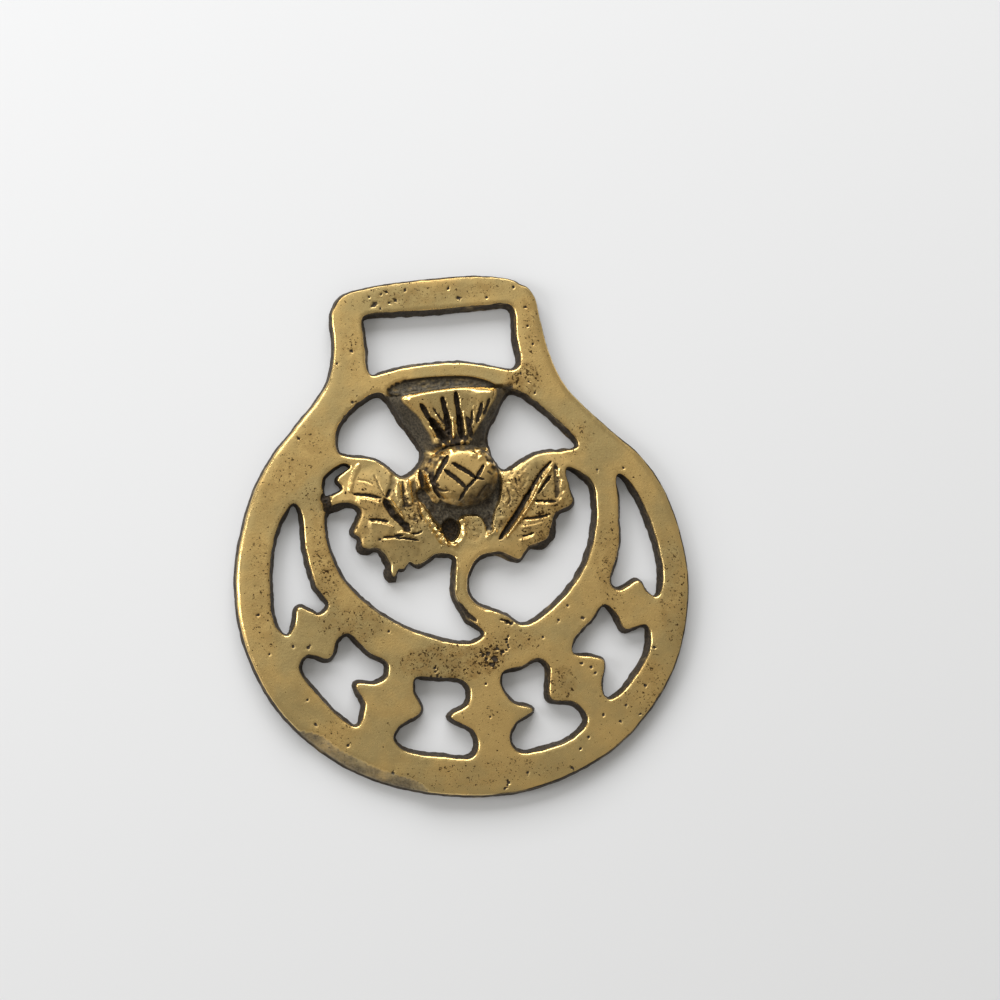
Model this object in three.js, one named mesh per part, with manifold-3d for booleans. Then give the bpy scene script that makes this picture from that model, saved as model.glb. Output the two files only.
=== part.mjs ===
// Horse brass: a thistle inside a pierced ring, with a strap hanger above it, cast in one piece.
// Millimetres, +Z up. The brass lies on its flat back with its face up and the hanger towards +Y.
// The outlines below are drawn from the centre of the ring, and the finished solid is moved so that
// the origin is under the middle of its bounding box.
import * as THREE from 'three';
import { mergeVertices } from 'three/addons/utils/BufferGeometryUtils.js';
import Module from 'manifold-3d';

const wasm = await Module();
wasm.setup();

// Driving dimensions
const PLATE = 3.0; // thickness of the ring and hanger
const EDGE_ROUND = 0.6; // worn rounding along the outer edge
const HOLE_DRAFT = 0.35; // each pierced wall leans in this far from face to back, as cast
const SLIT_DRAFT = 0.2; // the same for the small slit at the left leaf's tip
const RECESS_FLOOR = 1.7; // floor of the sunk band above the flower
const FLOWER_HEIGHT = 5.5; // top of the flower above the back
const FLOWER_FLARE = 2.8; // width of the flower's sloping sides
const FLOWER_FOOT = 1.8; // height at which those sides begin
const PIT_FLOOR = 0.9; // floor of the small blind pit under the cup
const STEM_RADIUS = 1.5;
const STEM_AXIS = 2.1; // height of the middle of the round stem
const MOAT_RADIUS = 0.9; // round groove about the foot of the cup
const CENTRE_SHIFT = new THREE.Vector3(0.128, -5.146, 0); // ring centre, from the middle of the bounding box

// Domes: centre, half sizes along x, y and z, and the turn of the long axis, in degrees
const CUP = { centre: [1.2, 15.3, 2.2], half: [6.6, 5.7, 4.6], turn: 0 };
const LEFT_LEAF = { centre: [-10.6, 10.2, 1.8], half: [9.4, 7.2, 2.3], turn: -12 };
const RIGHT_LEAF = { centre: [12.0, 9.3, 1.8], half: [10.2, 6.4, 2.3], turn: 50 };
const DOMES = [CUP, LEFT_LEAF, RIGHT_LEAF];

// Outlines on the face: hand-set points on smooth closed curves, closer together where they turn
const OUTER = [
  [0, 48.9], [8, 48.7], [13.4, 47.4], [16.2, 45.2], [17.3, 39.5], [18, 35.2], [20.4, 28.9],
  [27.5, 20.7], [31.4, 16.8], [34.8, 11.5], [37.5, 2.5], [37.9, -8], [33.8, -21], [23.3, -32.4],
  [8.5, -38.2], [-7, -37.7], [-21.3, -32.4], [-32.2, -22.3], [-37.6, -10], [-38.1, 2], [-34.4, 14.5],
  [-30.2, 21.3], [-26.2, 25.6], [-20.2, 32.6], [-18.6, 38], [-18.3, 44.5], [-16.3, 47.1], [-11, 48.3],
];
const SLOT_CORNERS = { left: -13.2, right: 12.5, top: 43.4, bottomLeft: 33.4, bottomRight: 32.2, arch: 34.3 };
const LEFT_CRESCENT = [
  [-27.3, 12.8], [-26.3, 11.6], [-26, 5], [-24.9, -1], [-23.1, -4.4], [-24.6, -5.8], [-28, -4.4],
  [-28.9, -7], [-30.3, -8.8], [-32.1, -7], [-32.3, 0.5], [-30.6, 8.5],
];
const RIGHT_CRESCENT = [
  [27.5, 13.1], [29.5, 11.4], [32.4, 4], [33.4, -5], [32.1, -8], [30.4, -7], [29.2, -5.1],
  [25.8, -6.4], [24.4, -5.2], [26.4, 1], [27, 8],
];
const LEFT_BUTTERFLY = [
  [-20.4, -9.4], [-17, -12.9], [-14.2, -14.8], [-14.5, -17], [-16.5, -18.1], [-19.7, -17.9],
  [-18.5, -21.5], [-20.3, -24.8], [-26.4, -18.8], [-28.9, -14.2], [-27.4, -12.3], [-23.8, -13.2],
  [-22, -10.2],
];
const LOWER_LEFT_BUTTERFLY = [
  [-9.8, -17.8], [-6, -18.1], [-2.2, -18.8], [-1, -20.3], [-1.4, -22.9], [-4.6, -24.7],
  [-1, -27.4], [-0.5, -30.2], [-1.8, -31.8], [-5, -31.5], [-13, -29.4], [-14.4, -27.4],
  [-13.4, -25.6], [-9.4, -23.2], [-10.3, -20],
];
const LOWER_RIGHT_BUTTERFLY = [
  [4.9, -18.1], [8, -17.5], [11.2, -16.4], [12.7, -18], [12.5, -23.2], [16.5, -24.4], [18.3, -27.2],
  [16, -30], [10.5, -31.7], [6, -31.6], [5, -29], [6.2, -26.8], [9.3, -24.9], [5.8, -23.2], [4.3, -20],
];
const RIGHT_BUTTERFLY = [
  [23, -8.5], [24.9, -10.3], [26.2, -12.9], [29.8, -12.6], [30.1, -16.3], [25.8, -22.3], [22.2, -24.4],
  [21.1, -22], [22, -17.8], [16.9, -16.1], [17.2, -14], [20.4, -11],
];
const UPPER_LEFT_OPENING = [
  [-11.1, 30.1], [-8.3, 25.7], [-4.9, 18.9], [-8.6, 15.5], [-13, 18.8], [-19, 20.6], [-19, 24.5], [-15, 28.8],
];
const UPPER_RIGHT_OPENING = [
  [10.8, 28.8], [16.8, 24.5], [21.1, 18.4], [14, 17.6], [8, 15.3], [5.7, 20.8], [8, 25.6],
];
const TIP_SLIT = [
  [-18.4, 18.8], [-17.3, 18.2], [-19.7, 16.2], [-19, 14.7], [-21.9, 13.6], [-22, 16.6],
];
const LOWER_LEFT_OPENING = [
  [-22, 11.1], [-18.2, 12.2], [-16.3, 10.7], [-17.8, 7], [-16.4, 4.4], [-13.6, 4], [-12.3, 1.4],
  [-11.7, -0.7], [-10, 0.7], [-7.6, 0.9], [-4, 2.5], [-1.4, 1.6], [-1.9, -4.5], [0, -8.6],
  [2.3, -11.6], [0, -12.9], [-7.2, -11.1], [-15.2, -6.2], [-21, 1],
];
const LOWER_RIGHT_OPENING = [
  [18.9, 14.9], [22.8, 12.3], [23.1, 6], [20.8, -1], [16, -6.9], [9.3, -10.7], [6, -8.7], [1.3, -6.2],
  [0.2, -3.5], [2.3, 1], [6, 1.9], [9.4, 0.4], [11.2, 2.2], [14.6, 3.9], [16.2, 7.6], [19.4, 9.3],
];
const CUP_PIT = [[-1.3, 8.5], [0.2, 7], [-0.9, 4.3], [-2.6, 5.2], [-3.1, 7.3]];
const RECESS = [
  [-10.2, 30.2], [-8, 31.5], [-2.5, 32], [3, 31.7], [8.8, 29.9], [6.5, 30.2], [0, 30.4], [-6, 30],
];
const FLOWER_TOP = [
  [-7.5, 28.8], [-5, 29.7], [0, 30], [6.5, 30], [8.1, 29.1], [4.4, 23.6], [2.7, 20], [-2.4, 20],
];
const STEM_LINE = [
  [1.9, 8, STEM_AXIS], [1.4, 3.5, STEM_AXIS], [-0.3, -1, STEM_AXIS], [-0.8, -4.5, STEM_AXIS],
  [0.9, -7.6, STEM_AXIS - 0.3], [4.4, -10.2, STEM_AXIS - 1.4],
];

// Cuts in the face: the points each one runs through, and its width
const FLOWER_CUTS = [
  { through: [[-4.4, 27.9], [-1.3, 21.8]], width: 0.95 },
  { through: [[-0.9, 28.7], [-0.3, 22.6]], width: 0.95 },
  { through: [[1.6, 29.3], [1.9, 21.7]], width: 0.95 },
  { through: [[-2.7, 26.8], [-0.8, 24.4]], width: 0.5 },
  { through: [[3.7, 26.2], [3.6, 23.4]], width: 0.5 },
  { through: [[5.6, 26.9], [4.8, 23.4]], width: 0.5 },
];
const CUP_CUTS = [
  { through: [[-0.9, 18.5], [-3.6, 14.7]], width: 0.7 },
  { through: [[-0.2, 17.2], [2.8, 14.9], [4.7, 14.3]], width: 0.7 },
  { through: [[-1.7, 16.4], [1.4, 13.6]], width: 0.7 },
  { through: [[4.7, 16.5], [3.9, 14.7], [1.4, 12.6], [0.4, 11.1]], width: 0.6 },
  { through: [[5.4, 13.6], [3.1, 11.1]], width: 0.5 },
];
const LEFT_LEAF_CUTS = [
  { through: [[-10.5, 15], [-12.1, 11.8], [-11, 9.1], [-9, 6.4]], width: 0.95 },
  { through: [[-16.9, 13.4], [-12.8, 12.8]], width: 0.6 },
  { through: [[-15.1, 9], [-11.4, 8.2]], width: 0.6 },
  { through: [[-13, 5.9], [-9.6, 6], [-6.9, 5.8]], width: 0.6 },
  { through: [[-16.3, 15.9], [-12.7, 14.5]], width: 0.5 },
];
const RIGHT_LEAF_CUTS = [
  { through: [[6.8, 4], [11.7, 9.9], [16.4, 15.9]], width: 0.9 },
  { through: [[12.9, 9.8], [16.5, 9.4]], width: 0.6 },
  { through: [[10.8, 6.9], [15, 7.2]], width: 0.6 },
  { through: [[9.3, 4.7], [12, 4.5]], width: 0.5 },
  { through: [[13.8, 11.6], [16.2, 13]], width: 0.5 },
];

// A closed three.js geometry as a solid that can be joined and cut
function solid(geometry) {
  const bare = geometry.clone();
  bare.deleteAttribute('normal');
  bare.deleteAttribute('uv');
  const closed = mergeVertices(bare, 1e-4);
  return new wasm.Manifold(new wasm.Mesh({
    numProp: 3,
    vertProperties: new Float32Array(closed.attributes.position.array),
    triVerts: new Uint32Array(closed.index.array),
  }));
}

// The finished solid as a three.js geometry again
function geometryOf(body) {
  const mesh = body.getMesh();
  const geometry = new THREE.BufferGeometry();
  geometry.setAttribute('position', new THREE.BufferAttribute(mesh.vertProperties, 3));
  geometry.setIndex(new THREE.BufferAttribute(mesh.triVerts, 1));
  geometry.computeVertexNormals();
  return geometry;
}

// A smooth closed outline through the points, with a few straight steps to each span
function roundShape(points, steps = 3) {
  const corners = points.map(([x, y]) => new THREE.Vector3(x, y, 0));
  const curve = new THREE.CatmullRomCurve3(corners, true, 'centripetal');
  const ring = curve.getPoints(steps * points.length).slice(0, -1);
  return new THREE.Shape(ring.map((point) => new THREE.Vector2(point.x, point.y)));
}

// The strap slot: straight top and sides, small round corners, and a lower edge that arches upwards
function slotShape() {
  const { left, right, top, bottomLeft, bottomRight, arch } = SLOT_CORNERS;
  const corner = 0.9;
  const middle = (left + right) / 2;
  const archPull = 2 * arch - (bottomLeft + bottomRight) / 2;
  const shape = new THREE.Shape();
  shape.moveTo(left + corner, top);
  shape.lineTo(right - corner, top);
  shape.quadraticCurveTo(right, top, right, top - corner);
  shape.lineTo(right, bottomRight + corner);
  shape.quadraticCurveTo(right, bottomRight, right - corner, bottomRight);
  shape.quadraticCurveTo(middle, archPull, left + corner, bottomLeft);
  shape.quadraticCurveTo(left, bottomLeft, left, bottomLeft + corner);
  shape.lineTo(left, top - corner);
  shape.quadraticCurveTo(left, top, left + corner, top);
  return shape;
}

// Cuts an outline right through: full size at the face and above, leaning in by the draft at the back
function piercing({ shape, draft }) {
  const aboveFace = 8;
  const belowBack = 0.5;
  const lean = draft * (PLATE + belowBack) / PLATE;
  const geometry = new THREE.ExtrudeGeometry(shape, {
    depth: aboveFace,
    curveSegments: 4,
    bevelSegments: 1,
    bevelThickness: PLATE + belowBack,
    bevelSize: lean,
    bevelOffset: -lean,
  });
  return solid(geometry.translate(0, 0, PLATE));
}

// A flat-bottomed sinking from a floor height upwards
function sinking(points, floor) {
  const geometry = new THREE.ExtrudeGeometry(roundShape(points), { depth: 10, bevelEnabled: false });
  return solid(geometry.translate(0, 0, floor));
}

// The plate without its holes: rounded along the face, slightly eased along the back
function plate() {
  const geometry = new THREE.ExtrudeGeometry(roundShape(OUTER, 4), {
    depth: PLATE - 2 * EDGE_ROUND,
    bevelSegments: 2,
    bevelThickness: EDGE_ROUND,
    bevelSize: EDGE_ROUND,
    bevelOffset: -EDGE_ROUND,
  });
  return solid(geometry.translate(0, 0, EDGE_ROUND));
}

// The flower: a flat fan on top, with sides that slope outwards down to the plate
function flower() {
  const shape = new THREE.Shape(FLOWER_TOP.map(([x, y]) => new THREE.Vector2(x, y)));
  const geometry = new THREE.ExtrudeGeometry(shape, {
    depth: FLOWER_FOOT,
    bevelSegments: 1,
    bevelThickness: FLOWER_HEIGHT - FLOWER_FOOT,
    bevelSize: FLOWER_FLARE,
  });
  return solid(geometry);
}

// A dome, as an ellipsoid sunk into the plate
function dome({ centre, half, turn }) {
  const geometry = new THREE.SphereGeometry(1, 22, 16);
  geometry.rotateX(Math.PI / 2);
  geometry.scale(...half);
  geometry.rotateZ(THREE.MathUtils.degToRad(turn));
  geometry.translate(...centre);
  return solid(geometry);
}

// A rod of round section along a smooth line
function rod(line, radius, steps, sides) {
  const section = new THREE.Shape().absarc(0, 0, radius, 0, 2 * Math.PI);
  const outline = new THREE.Shape(section.getSpacedPoints(sides).slice(0, -1));
  return solid(new THREE.ExtrudeGeometry(outline, { steps, extrudePath: line }));
}

// Height of a dome over a point, or the bare plate outside it
function domeHeight({ centre, half, turn }, x, y) {
  const turned = new THREE.Vector2(x - centre[0], y - centre[1]).rotateAround(
    new THREE.Vector2(), THREE.MathUtils.degToRad(-turn));
  const inside = 1 - (turned.x / half[0]) ** 2 - (turned.y / half[1]) ** 2;
  return inside > 0 ? centre[2] + half[2] * Math.sqrt(inside) : PLATE;
}

// Height of the cup and leaves at a point: the highest dome there
const overDomes = (x, y) => Math.max(...DOMES.map((each) => domeHeight(each, x, y)));
const overFlower = () => FLOWER_HEIGHT;

// A round-bottomed cut that follows the face, whose height at a point is heightAt(x, y)
function faceCut({ through, width }, heightAt) {
  const points = through.map(([x, y]) => new THREE.Vector3(x, y, heightAt(x, y)));
  const line = new THREE.CatmullRomCurve3(points);
  return rod(line, width / 2, through.length === 2 ? 3 : 2 * through.length, 6);
}

// The moat around the foot of the cup
function moat() {
  const geometry = new THREE.TorusGeometry(1, MOAT_RADIUS / CUP.half[0], 6, 28);
  geometry.scale(CUP.half[0] + MOAT_RADIUS, CUP.half[1] + MOAT_RADIUS, CUP.half[0]);
  geometry.translate(CUP.centre[0], CUP.centre[1], PLATE);
  return solid(geometry);
}

// Everything under the back face
function underBack() {
  return solid(new THREE.BoxGeometry(100, 100, 10).translate(0, 0, -5));
}

const PIERCED = [
  { shape: slotShape(), draft: HOLE_DRAFT },
  { shape: roundShape(TIP_SLIT), draft: SLIT_DRAFT },
  ...[
    LEFT_CRESCENT, RIGHT_CRESCENT,
    LEFT_BUTTERFLY, LOWER_LEFT_BUTTERFLY, LOWER_RIGHT_BUTTERFLY, RIGHT_BUTTERFLY,
    UPPER_LEFT_OPENING, UPPER_RIGHT_OPENING, LOWER_LEFT_OPENING, LOWER_RIGHT_OPENING,
  ].map((points) => ({ shape: roundShape(points), draft: HOLE_DRAFT })),
];

function horseBrass() {
  const stemLine = new THREE.CatmullRomCurve3(STEM_LINE.map((point) => new THREE.Vector3(...point)));
  let body = plate().subtract(moat()).add(dome(LEFT_LEAF)).add(dome(RIGHT_LEAF));
  body = body.add(flower()).subtract(sinking(RECESS, RECESS_FLOOR));
  body = body.add(rod(stemLine, STEM_RADIUS, 12, 10)).add(dome(CUP));
  const domeCuts = [...CUP_CUTS, ...LEFT_LEAF_CUTS, ...RIGHT_LEAF_CUTS];
  body = FLOWER_CUTS.reduce((rest, cut) => rest.subtract(faceCut(cut, overFlower)), body);
  body = domeCuts.reduce((rest, cut) => rest.subtract(faceCut(cut, overDomes)), body);
  body = body.subtract(sinking(CUP_PIT, PIT_FLOOR)).subtract(underBack());
  return PIERCED.reduce((rest, hole) => rest.subtract(piercing(hole)), body);
}

const agedBrass = new THREE.MeshStandardMaterial({ color: 0xaf945c, roughness: 0.42, metalness: 1 });
const brass = new THREE.Mesh(geometryOf(horseBrass()), agedBrass);
brass.name = 'horse_brass';
brass.position.copy(CENTRE_SHIFT);

const part = new THREE.Group();
part.add(brass);

export default part;
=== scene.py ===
"""A cast horse brass: a thistle in a pierced ring under a strap hanger, lying on a pale floor."""

import bpy
import numpy as np
from mathutils import Matrix, Vector
from mathutils.geometry import delaunay_2d_cdt


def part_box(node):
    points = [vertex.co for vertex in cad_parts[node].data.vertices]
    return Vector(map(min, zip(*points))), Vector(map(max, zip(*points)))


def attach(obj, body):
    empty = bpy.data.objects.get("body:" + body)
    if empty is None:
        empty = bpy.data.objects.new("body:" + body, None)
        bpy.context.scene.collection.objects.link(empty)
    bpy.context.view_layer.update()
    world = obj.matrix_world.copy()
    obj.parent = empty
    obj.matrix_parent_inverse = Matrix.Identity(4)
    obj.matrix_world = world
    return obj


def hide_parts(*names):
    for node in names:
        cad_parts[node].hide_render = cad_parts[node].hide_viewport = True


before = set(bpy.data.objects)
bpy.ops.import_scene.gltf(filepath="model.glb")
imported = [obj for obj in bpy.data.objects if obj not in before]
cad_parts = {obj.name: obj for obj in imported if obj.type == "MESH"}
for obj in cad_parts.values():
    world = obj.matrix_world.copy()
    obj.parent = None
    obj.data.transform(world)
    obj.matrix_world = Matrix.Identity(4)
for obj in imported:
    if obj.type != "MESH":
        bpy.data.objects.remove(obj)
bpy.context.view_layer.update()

MM = 0.001

# ---------------------------------------------------------------------------------------------
# The pattern. The founder's pattern gives the cast brass its outline and its twelve piercings,
# which were cleaned up with a file after the casting, so no two match. Each outline is a smooth
# closed curve through a few points, in millimetres from the middle of the ring.
# ---------------------------------------------------------------------------------------------
PATTERN_MIDDLE = np.array([0.128, -5.146])
THICKNESS = 3.0

OUTER = [
    (0, 48.9), (8, 48.7), (13.1, 47.6), (14.2, 46.9), (15.5, 46.1), (16.5, 44.5), (17.3, 39.5),
    (18, 35.2), (20.4, 28.9), (27.5, 20.7), (31.4, 16.8), (34.8, 11.5), (37.5, 2.5), (37.9, -8),
    (33.8, -21), (23.3, -32.4), (8.5, -38.2), (-7, -37.7), (-21.3, -32.4), (-32.2, -22.3),
    (-37.6, -10), (-38.1, 2), (-34.4, 14.5), (-30.2, 21.3), (-26.2, 25.6), (-20.2, 32.6),
    (-18.6, 38), (-18.3, 44.5), (-16.3, 47.1), (-11, 48.3),
]
SLOT = [
    (-13.2, 42.4), (-12.9, 43.1), (-12.2, 43.4), (-8, 43.4), (-1, 43.3), (6, 43.4), (11.4, 43.4),
    (12.2, 43), (12.6, 42.2), (12.6, 38), (12.9, 34.2), (12.5, 32.7), (11.3, 32.1), (8, 32.9),
    (3, 34), (-2, 34.2), (-7, 33.9), (-10.6, 33.2), (-12.3, 33.1), (-13, 33.9), (-13.2, 38),
]
LEFT_CRESCENT = [
    (-27.3, 12.8), (-26.3, 11.6), (-26, 5), (-24.9, -1), (-23.1, -4.4), (-24.6, -5.8), (-28, -4.4),
    (-28.9, -7), (-30.3, -8.8), (-32.1, -7), (-32.3, 0.5), (-30.6, 8.5),
]
RIGHT_CRESCENT = [
    (27.5, 13.1), (29.5, 11.4), (32.4, 4), (33.4, -5), (32.1, -8), (30.4, -7), (29.2, -5.1),
    (25.8, -6.4), (24.4, -5.2), (26.4, 1), (27, 8),
]
LEFT_BUTTERFLY = [
    (-20.4, -9.4), (-17, -12.9), (-14.2, -14.8), (-14.5, -17), (-16.5, -18.1), (-19.7, -17.9),
    (-18.5, -21.5), (-20.3, -24.8), (-26.4, -18.8), (-28.9, -14.2), (-27.4, -12.3), (-23.8, -13.2),
    (-22, -10.2),
]
LOWER_LEFT_BUTTERFLY = [
    (-9.8, -17.8), (-6, -18.1), (-2.2, -18.8), (-1, -20.3), (-1.4, -22.9), (-4.6, -24.7),
    (-1, -27.4), (-0.5, -30.2), (-1.8, -31.8), (-5, -31.5), (-13, -29.4), (-14.4, -27.4),
    (-13.4, -25.6), (-9.4, -23.2), (-10.3, -20),
]
LOWER_RIGHT_BUTTERFLY = [
    (4.9, -18.1), (8, -17.5), (11.2, -16.4), (12.7, -18), (12.5, -23.2), (16.5, -24.4),
    (18.3, -27.2), (16, -30), (10.5, -31.7), (6, -31.6), (5, -29), (6.2, -26.8), (9.3, -24.9),
    (5.8, -23.2), (4.3, -20),
]
RIGHT_BUTTERFLY = [
    (23, -8.5), (24.9, -10.3), (26.2, -12.9), (29.8, -12.6), (30.1, -16.3), (25.8, -22.3),
    (22.2, -24.4), (21.1, -22), (22, -17.8), (16.9, -16.1), (17.2, -14), (20.4, -11),
]
UPPER_LEFT_OPENING = [
    (-11.1, 30.1), (-8.3, 25.7), (-4.9, 18.9), (-8.6, 15.5), (-13, 18.8), (-19, 20.6), (-19, 24.5),
    (-15, 28.8),
]
UPPER_RIGHT_OPENING = [
    (10.8, 28.8), (16.8, 24.5), (21.1, 18.4), (14, 17.6), (8, 15.3), (5.7, 20.8), (8, 25.6),
]
TIP_SLIT = [(-18.4, 18.8), (-17.3, 18.2), (-19.7, 16.2), (-19, 14.7), (-21.9, 13.6), (-22, 16.6)]
LOWER_LEFT_OPENING = [
    (-22, 11.1), (-18.2, 12.2), (-16.3, 10.7), (-17.8, 7.1), (-16.9, 6.3), (-16.5, 4.6),
    (-13.8, 4.1), (-12.3, 1.6), (-12.2, -0.3), (-11.7, -0.8), (-10.9, 0.4), (-9.9, 0.5), (-9, 1.6),
    (-7.6, 0.9), (-4, 2.5), (-1.4, 1.6), (-1.9, -4.5), (0, -8.6), (2.3, -11.6), (0, -12.9),
    (-7.2, -11.1), (-15.2, -6.2), (-21, 1),
]
LOWER_RIGHT_OPENING = [
    (18.9, 14.9), (22.8, 12.3), (23.1, 6), (20.8, -1), (16, -6.9), (9.3, -10.7), (6, -8.7),
    (1.3, -6.2), (0.2, -3.5), (2.3, 1), (6, 1.9), (9.4, 0.4), (10.4, 1.4), (11.2, 2.2),
    (14.4, 3.5), (16.2, 7.4), (19.2, 8.9), (18.9, 11.5),
]
PIERCINGS = [
    SLOT, LEFT_CRESCENT, RIGHT_CRESCENT, LEFT_BUTTERFLY, LOWER_LEFT_BUTTERFLY,
    LOWER_RIGHT_BUTTERFLY, RIGHT_BUTTERFLY, UPPER_LEFT_OPENING, UPPER_RIGHT_OPENING, TIP_SLIT,
    LOWER_LEFT_OPENING, LOWER_RIGHT_OPENING,
]
OUTLINE_STEP = 0.33
OUTER_FILING = 0.035
HOLE_FILING = 0.065
FILE_MARKS = [(1.0, 1.6, 3), (0.7, 0.7, 26)]
UNFILED_MIDDLE, UNFILED_HALF = (-11.5, 1.8), (4.5, 3.2)
UNFILED_RAGS = 2.2


def lattice_noise(x, y, size, seed=0.0):
    """Smooth noise from -1 to 1: random values on a square lattice of the given size, blended
    between corners with the weight 3t^2 - 2t^3."""
    u = np.asarray(x) / size + 17.3 * seed
    v = np.asarray(y) / size - 9.1 * seed
    i, j = np.floor(u), np.floor(v)
    s, t = u - i, v - j
    s, t = s * s * (3 - 2 * s), t * t * (3 - 2 * t)

    def corner(a, b):
        """The fractional part of a large sine of the corner's place, from -1 to 1."""
        return 2 * np.mod(np.sin(a * 127.1 + b * 311.7 + seed * 74.7) * 43758.5453, 1.0) - 1

    low = corner(i, j) * (1 - s) + corner(i + 1, j) * s
    high = corner(i, j + 1) * (1 - s) + corner(i + 1, j + 1) * s
    return low * (1 - t) + high * t


def waves(x, y, table):
    """The sum of each row's height times the noise of its size and seed."""
    return sum(height * lattice_noise(x, y, size, seed) for height, size, seed in table)


def closed_curve(points, step):
    """Centripetal Catmull-Rom curve through the points: each span is a cubic whose end slopes
    weigh the neighbours by the square roots of their distances. It is then cut into equal
    steps."""
    p1 = np.array(points, float)
    p0, p2, p3 = np.roll(p1, 1, 0), np.roll(p1, -1, 0), np.roll(p1, -2, 0)
    k0, k1, k2 = (np.sqrt(np.linalg.norm(b - a, axis=1))[:, None]
                  for a, b in ((p0, p1), (p1, p2), (p2, p3)))
    m1 = ((p1 - p0) / k0 - (p2 - p0) / (k0 + k1) + (p2 - p1) / k1) * k1
    m2 = ((p2 - p1) / k1 - (p3 - p1) / (k1 + k2) + (p3 - p2) / k2) * k1
    t = (np.arange(40) / 40)[None, :, None]
    a, b, m, n = (q[:, None, :] for q in (p1, p2, m1, m2))
    fine = (a + m * t + (3 * (b - a) - 2 * m - n) * t ** 2 + (2 * (a - b) + m + n) * t ** 3)
    fine = fine.reshape(-1, 2)
    around = np.vstack([fine, fine[:1]])
    length = np.r_[0, np.cumsum(np.linalg.norm(np.diff(around, axis=0), axis=1))]
    count = int(round(length[-1] / step))
    at = np.arange(count) * length[-1] / count
    return np.stack([np.interp(at, length, around[:, k]) for k in (0, 1)], -1)


def signed_area(loop):
    """Half the sum of the cross products of neighbouring points: positive anticlockwise."""
    after = np.roll(loop, -1, 0)
    return 0.5 * np.sum(loop[:, 0] * after[:, 1] - loop[:, 1] * after[:, 0])


def metal_side(loop):
    """Unit normals that point into the metal: the chord of each point's neighbours, turned left.
    They are evened out over three points."""
    chord = np.roll(loop, -1, 0) - np.roll(loop, 1, 0)
    normal = np.stack([-chord[:, 1], chord[:, 0]], -1)
    normal /= np.linalg.norm(normal, axis=1)[:, None]
    normal = np.roll(normal, 1, 0) + 2 * normal + np.roll(normal, -1, 0)
    return normal / np.linalg.norm(normal, axis=1)[:, None]


OUTER_LEAN = 0.35
outer_loop = closed_curve(OUTER, OUTLINE_STEP)
outer_loop = outer_loop if signed_area(outer_loop) > 0 else outer_loop[::-1]
hole_loops = [closed_curve(points, OUTLINE_STEP) for points in PIERCINGS]
hole_loops = [loop if signed_area(loop) < 0 else loop[::-1] for loop in hole_loops]


def filed(loop, amount):
    """The loop moved in and out of the metal by the amount times two sizes of noise, as a file
    leaves it. A third size is added under the left leaf, where no file went: it fades as the
    exponential of minus the fourth powers of the distances over the half sizes."""
    wander = waves(loop[:, 0], loop[:, 1], FILE_MARKS)
    unfiled = np.exp(-np.sum(((loop - UNFILED_MIDDLE) / UNFILED_HALF) ** 4, 1))
    wander = wander + UNFILED_RAGS * unfiled * lattice_noise(loop[:, 0], loop[:, 1], 0.75, 29)
    return loop + metal_side(loop) * (amount * wander)[:, None]


face_loops = [filed(outer_loop + metal_side(outer_loop) * OUTER_LEAN, OUTER_FILING)]
face_loops += [filed(loop, HOLE_FILING) for loop in hole_loops]

# ---------------------------------------------------------------------------------------------
# The relief. The flower, cup, leaves and stem stand up from the web inside the ring. They were
# modelled in the pattern by hand and their lines were cut with a chisel, then sand cast, so the
# sunk parts keep the grain of the sand while the high parts were polished.
# ---------------------------------------------------------------------------------------------
FLOWER_TOP = [
    (-7.5, 28.5), (-5.2, 29.1), (0, 29.5), (4, 29.5), (6.4, 29.3), (7.6, 28.7), (7.2, 27.6),
    (5.9, 25.9), (4.5, 23.8), (3, 21.8), (2.3, 20.4), (-2.4, 20.4), (-3, 21.8), (-4, 23.8),
    (-5.3, 26), (-6.7, 27.5),
]
FLOWER_HEIGHT = 5.5
FLOWER_FLARE = 2.9
FLOWER_FOOT = 1.5
FLOWER_TIP = 29.5
FLOWER_FALL = 0.085
FLUTE_HEIGHT = 0.13
FLUTE_CENTRE = (0.9, 11.5)
TOP_EDGE = 0.3
BROW_DROP = 0.7
WORN_END_DROP = 0.45
RECESS = [
    (-10.1, 30.3), (-8.3, 31.5), (-5, 31.9), (0, 31.9), (4, 31.5), (6.8, 30.6), (8.2, 29.7),
    (6.6, 29.6), (0, 29.8), (-5.4, 29.5), (-8, 29.1),
]
RECESS_FLOOR = 2.0

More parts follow.
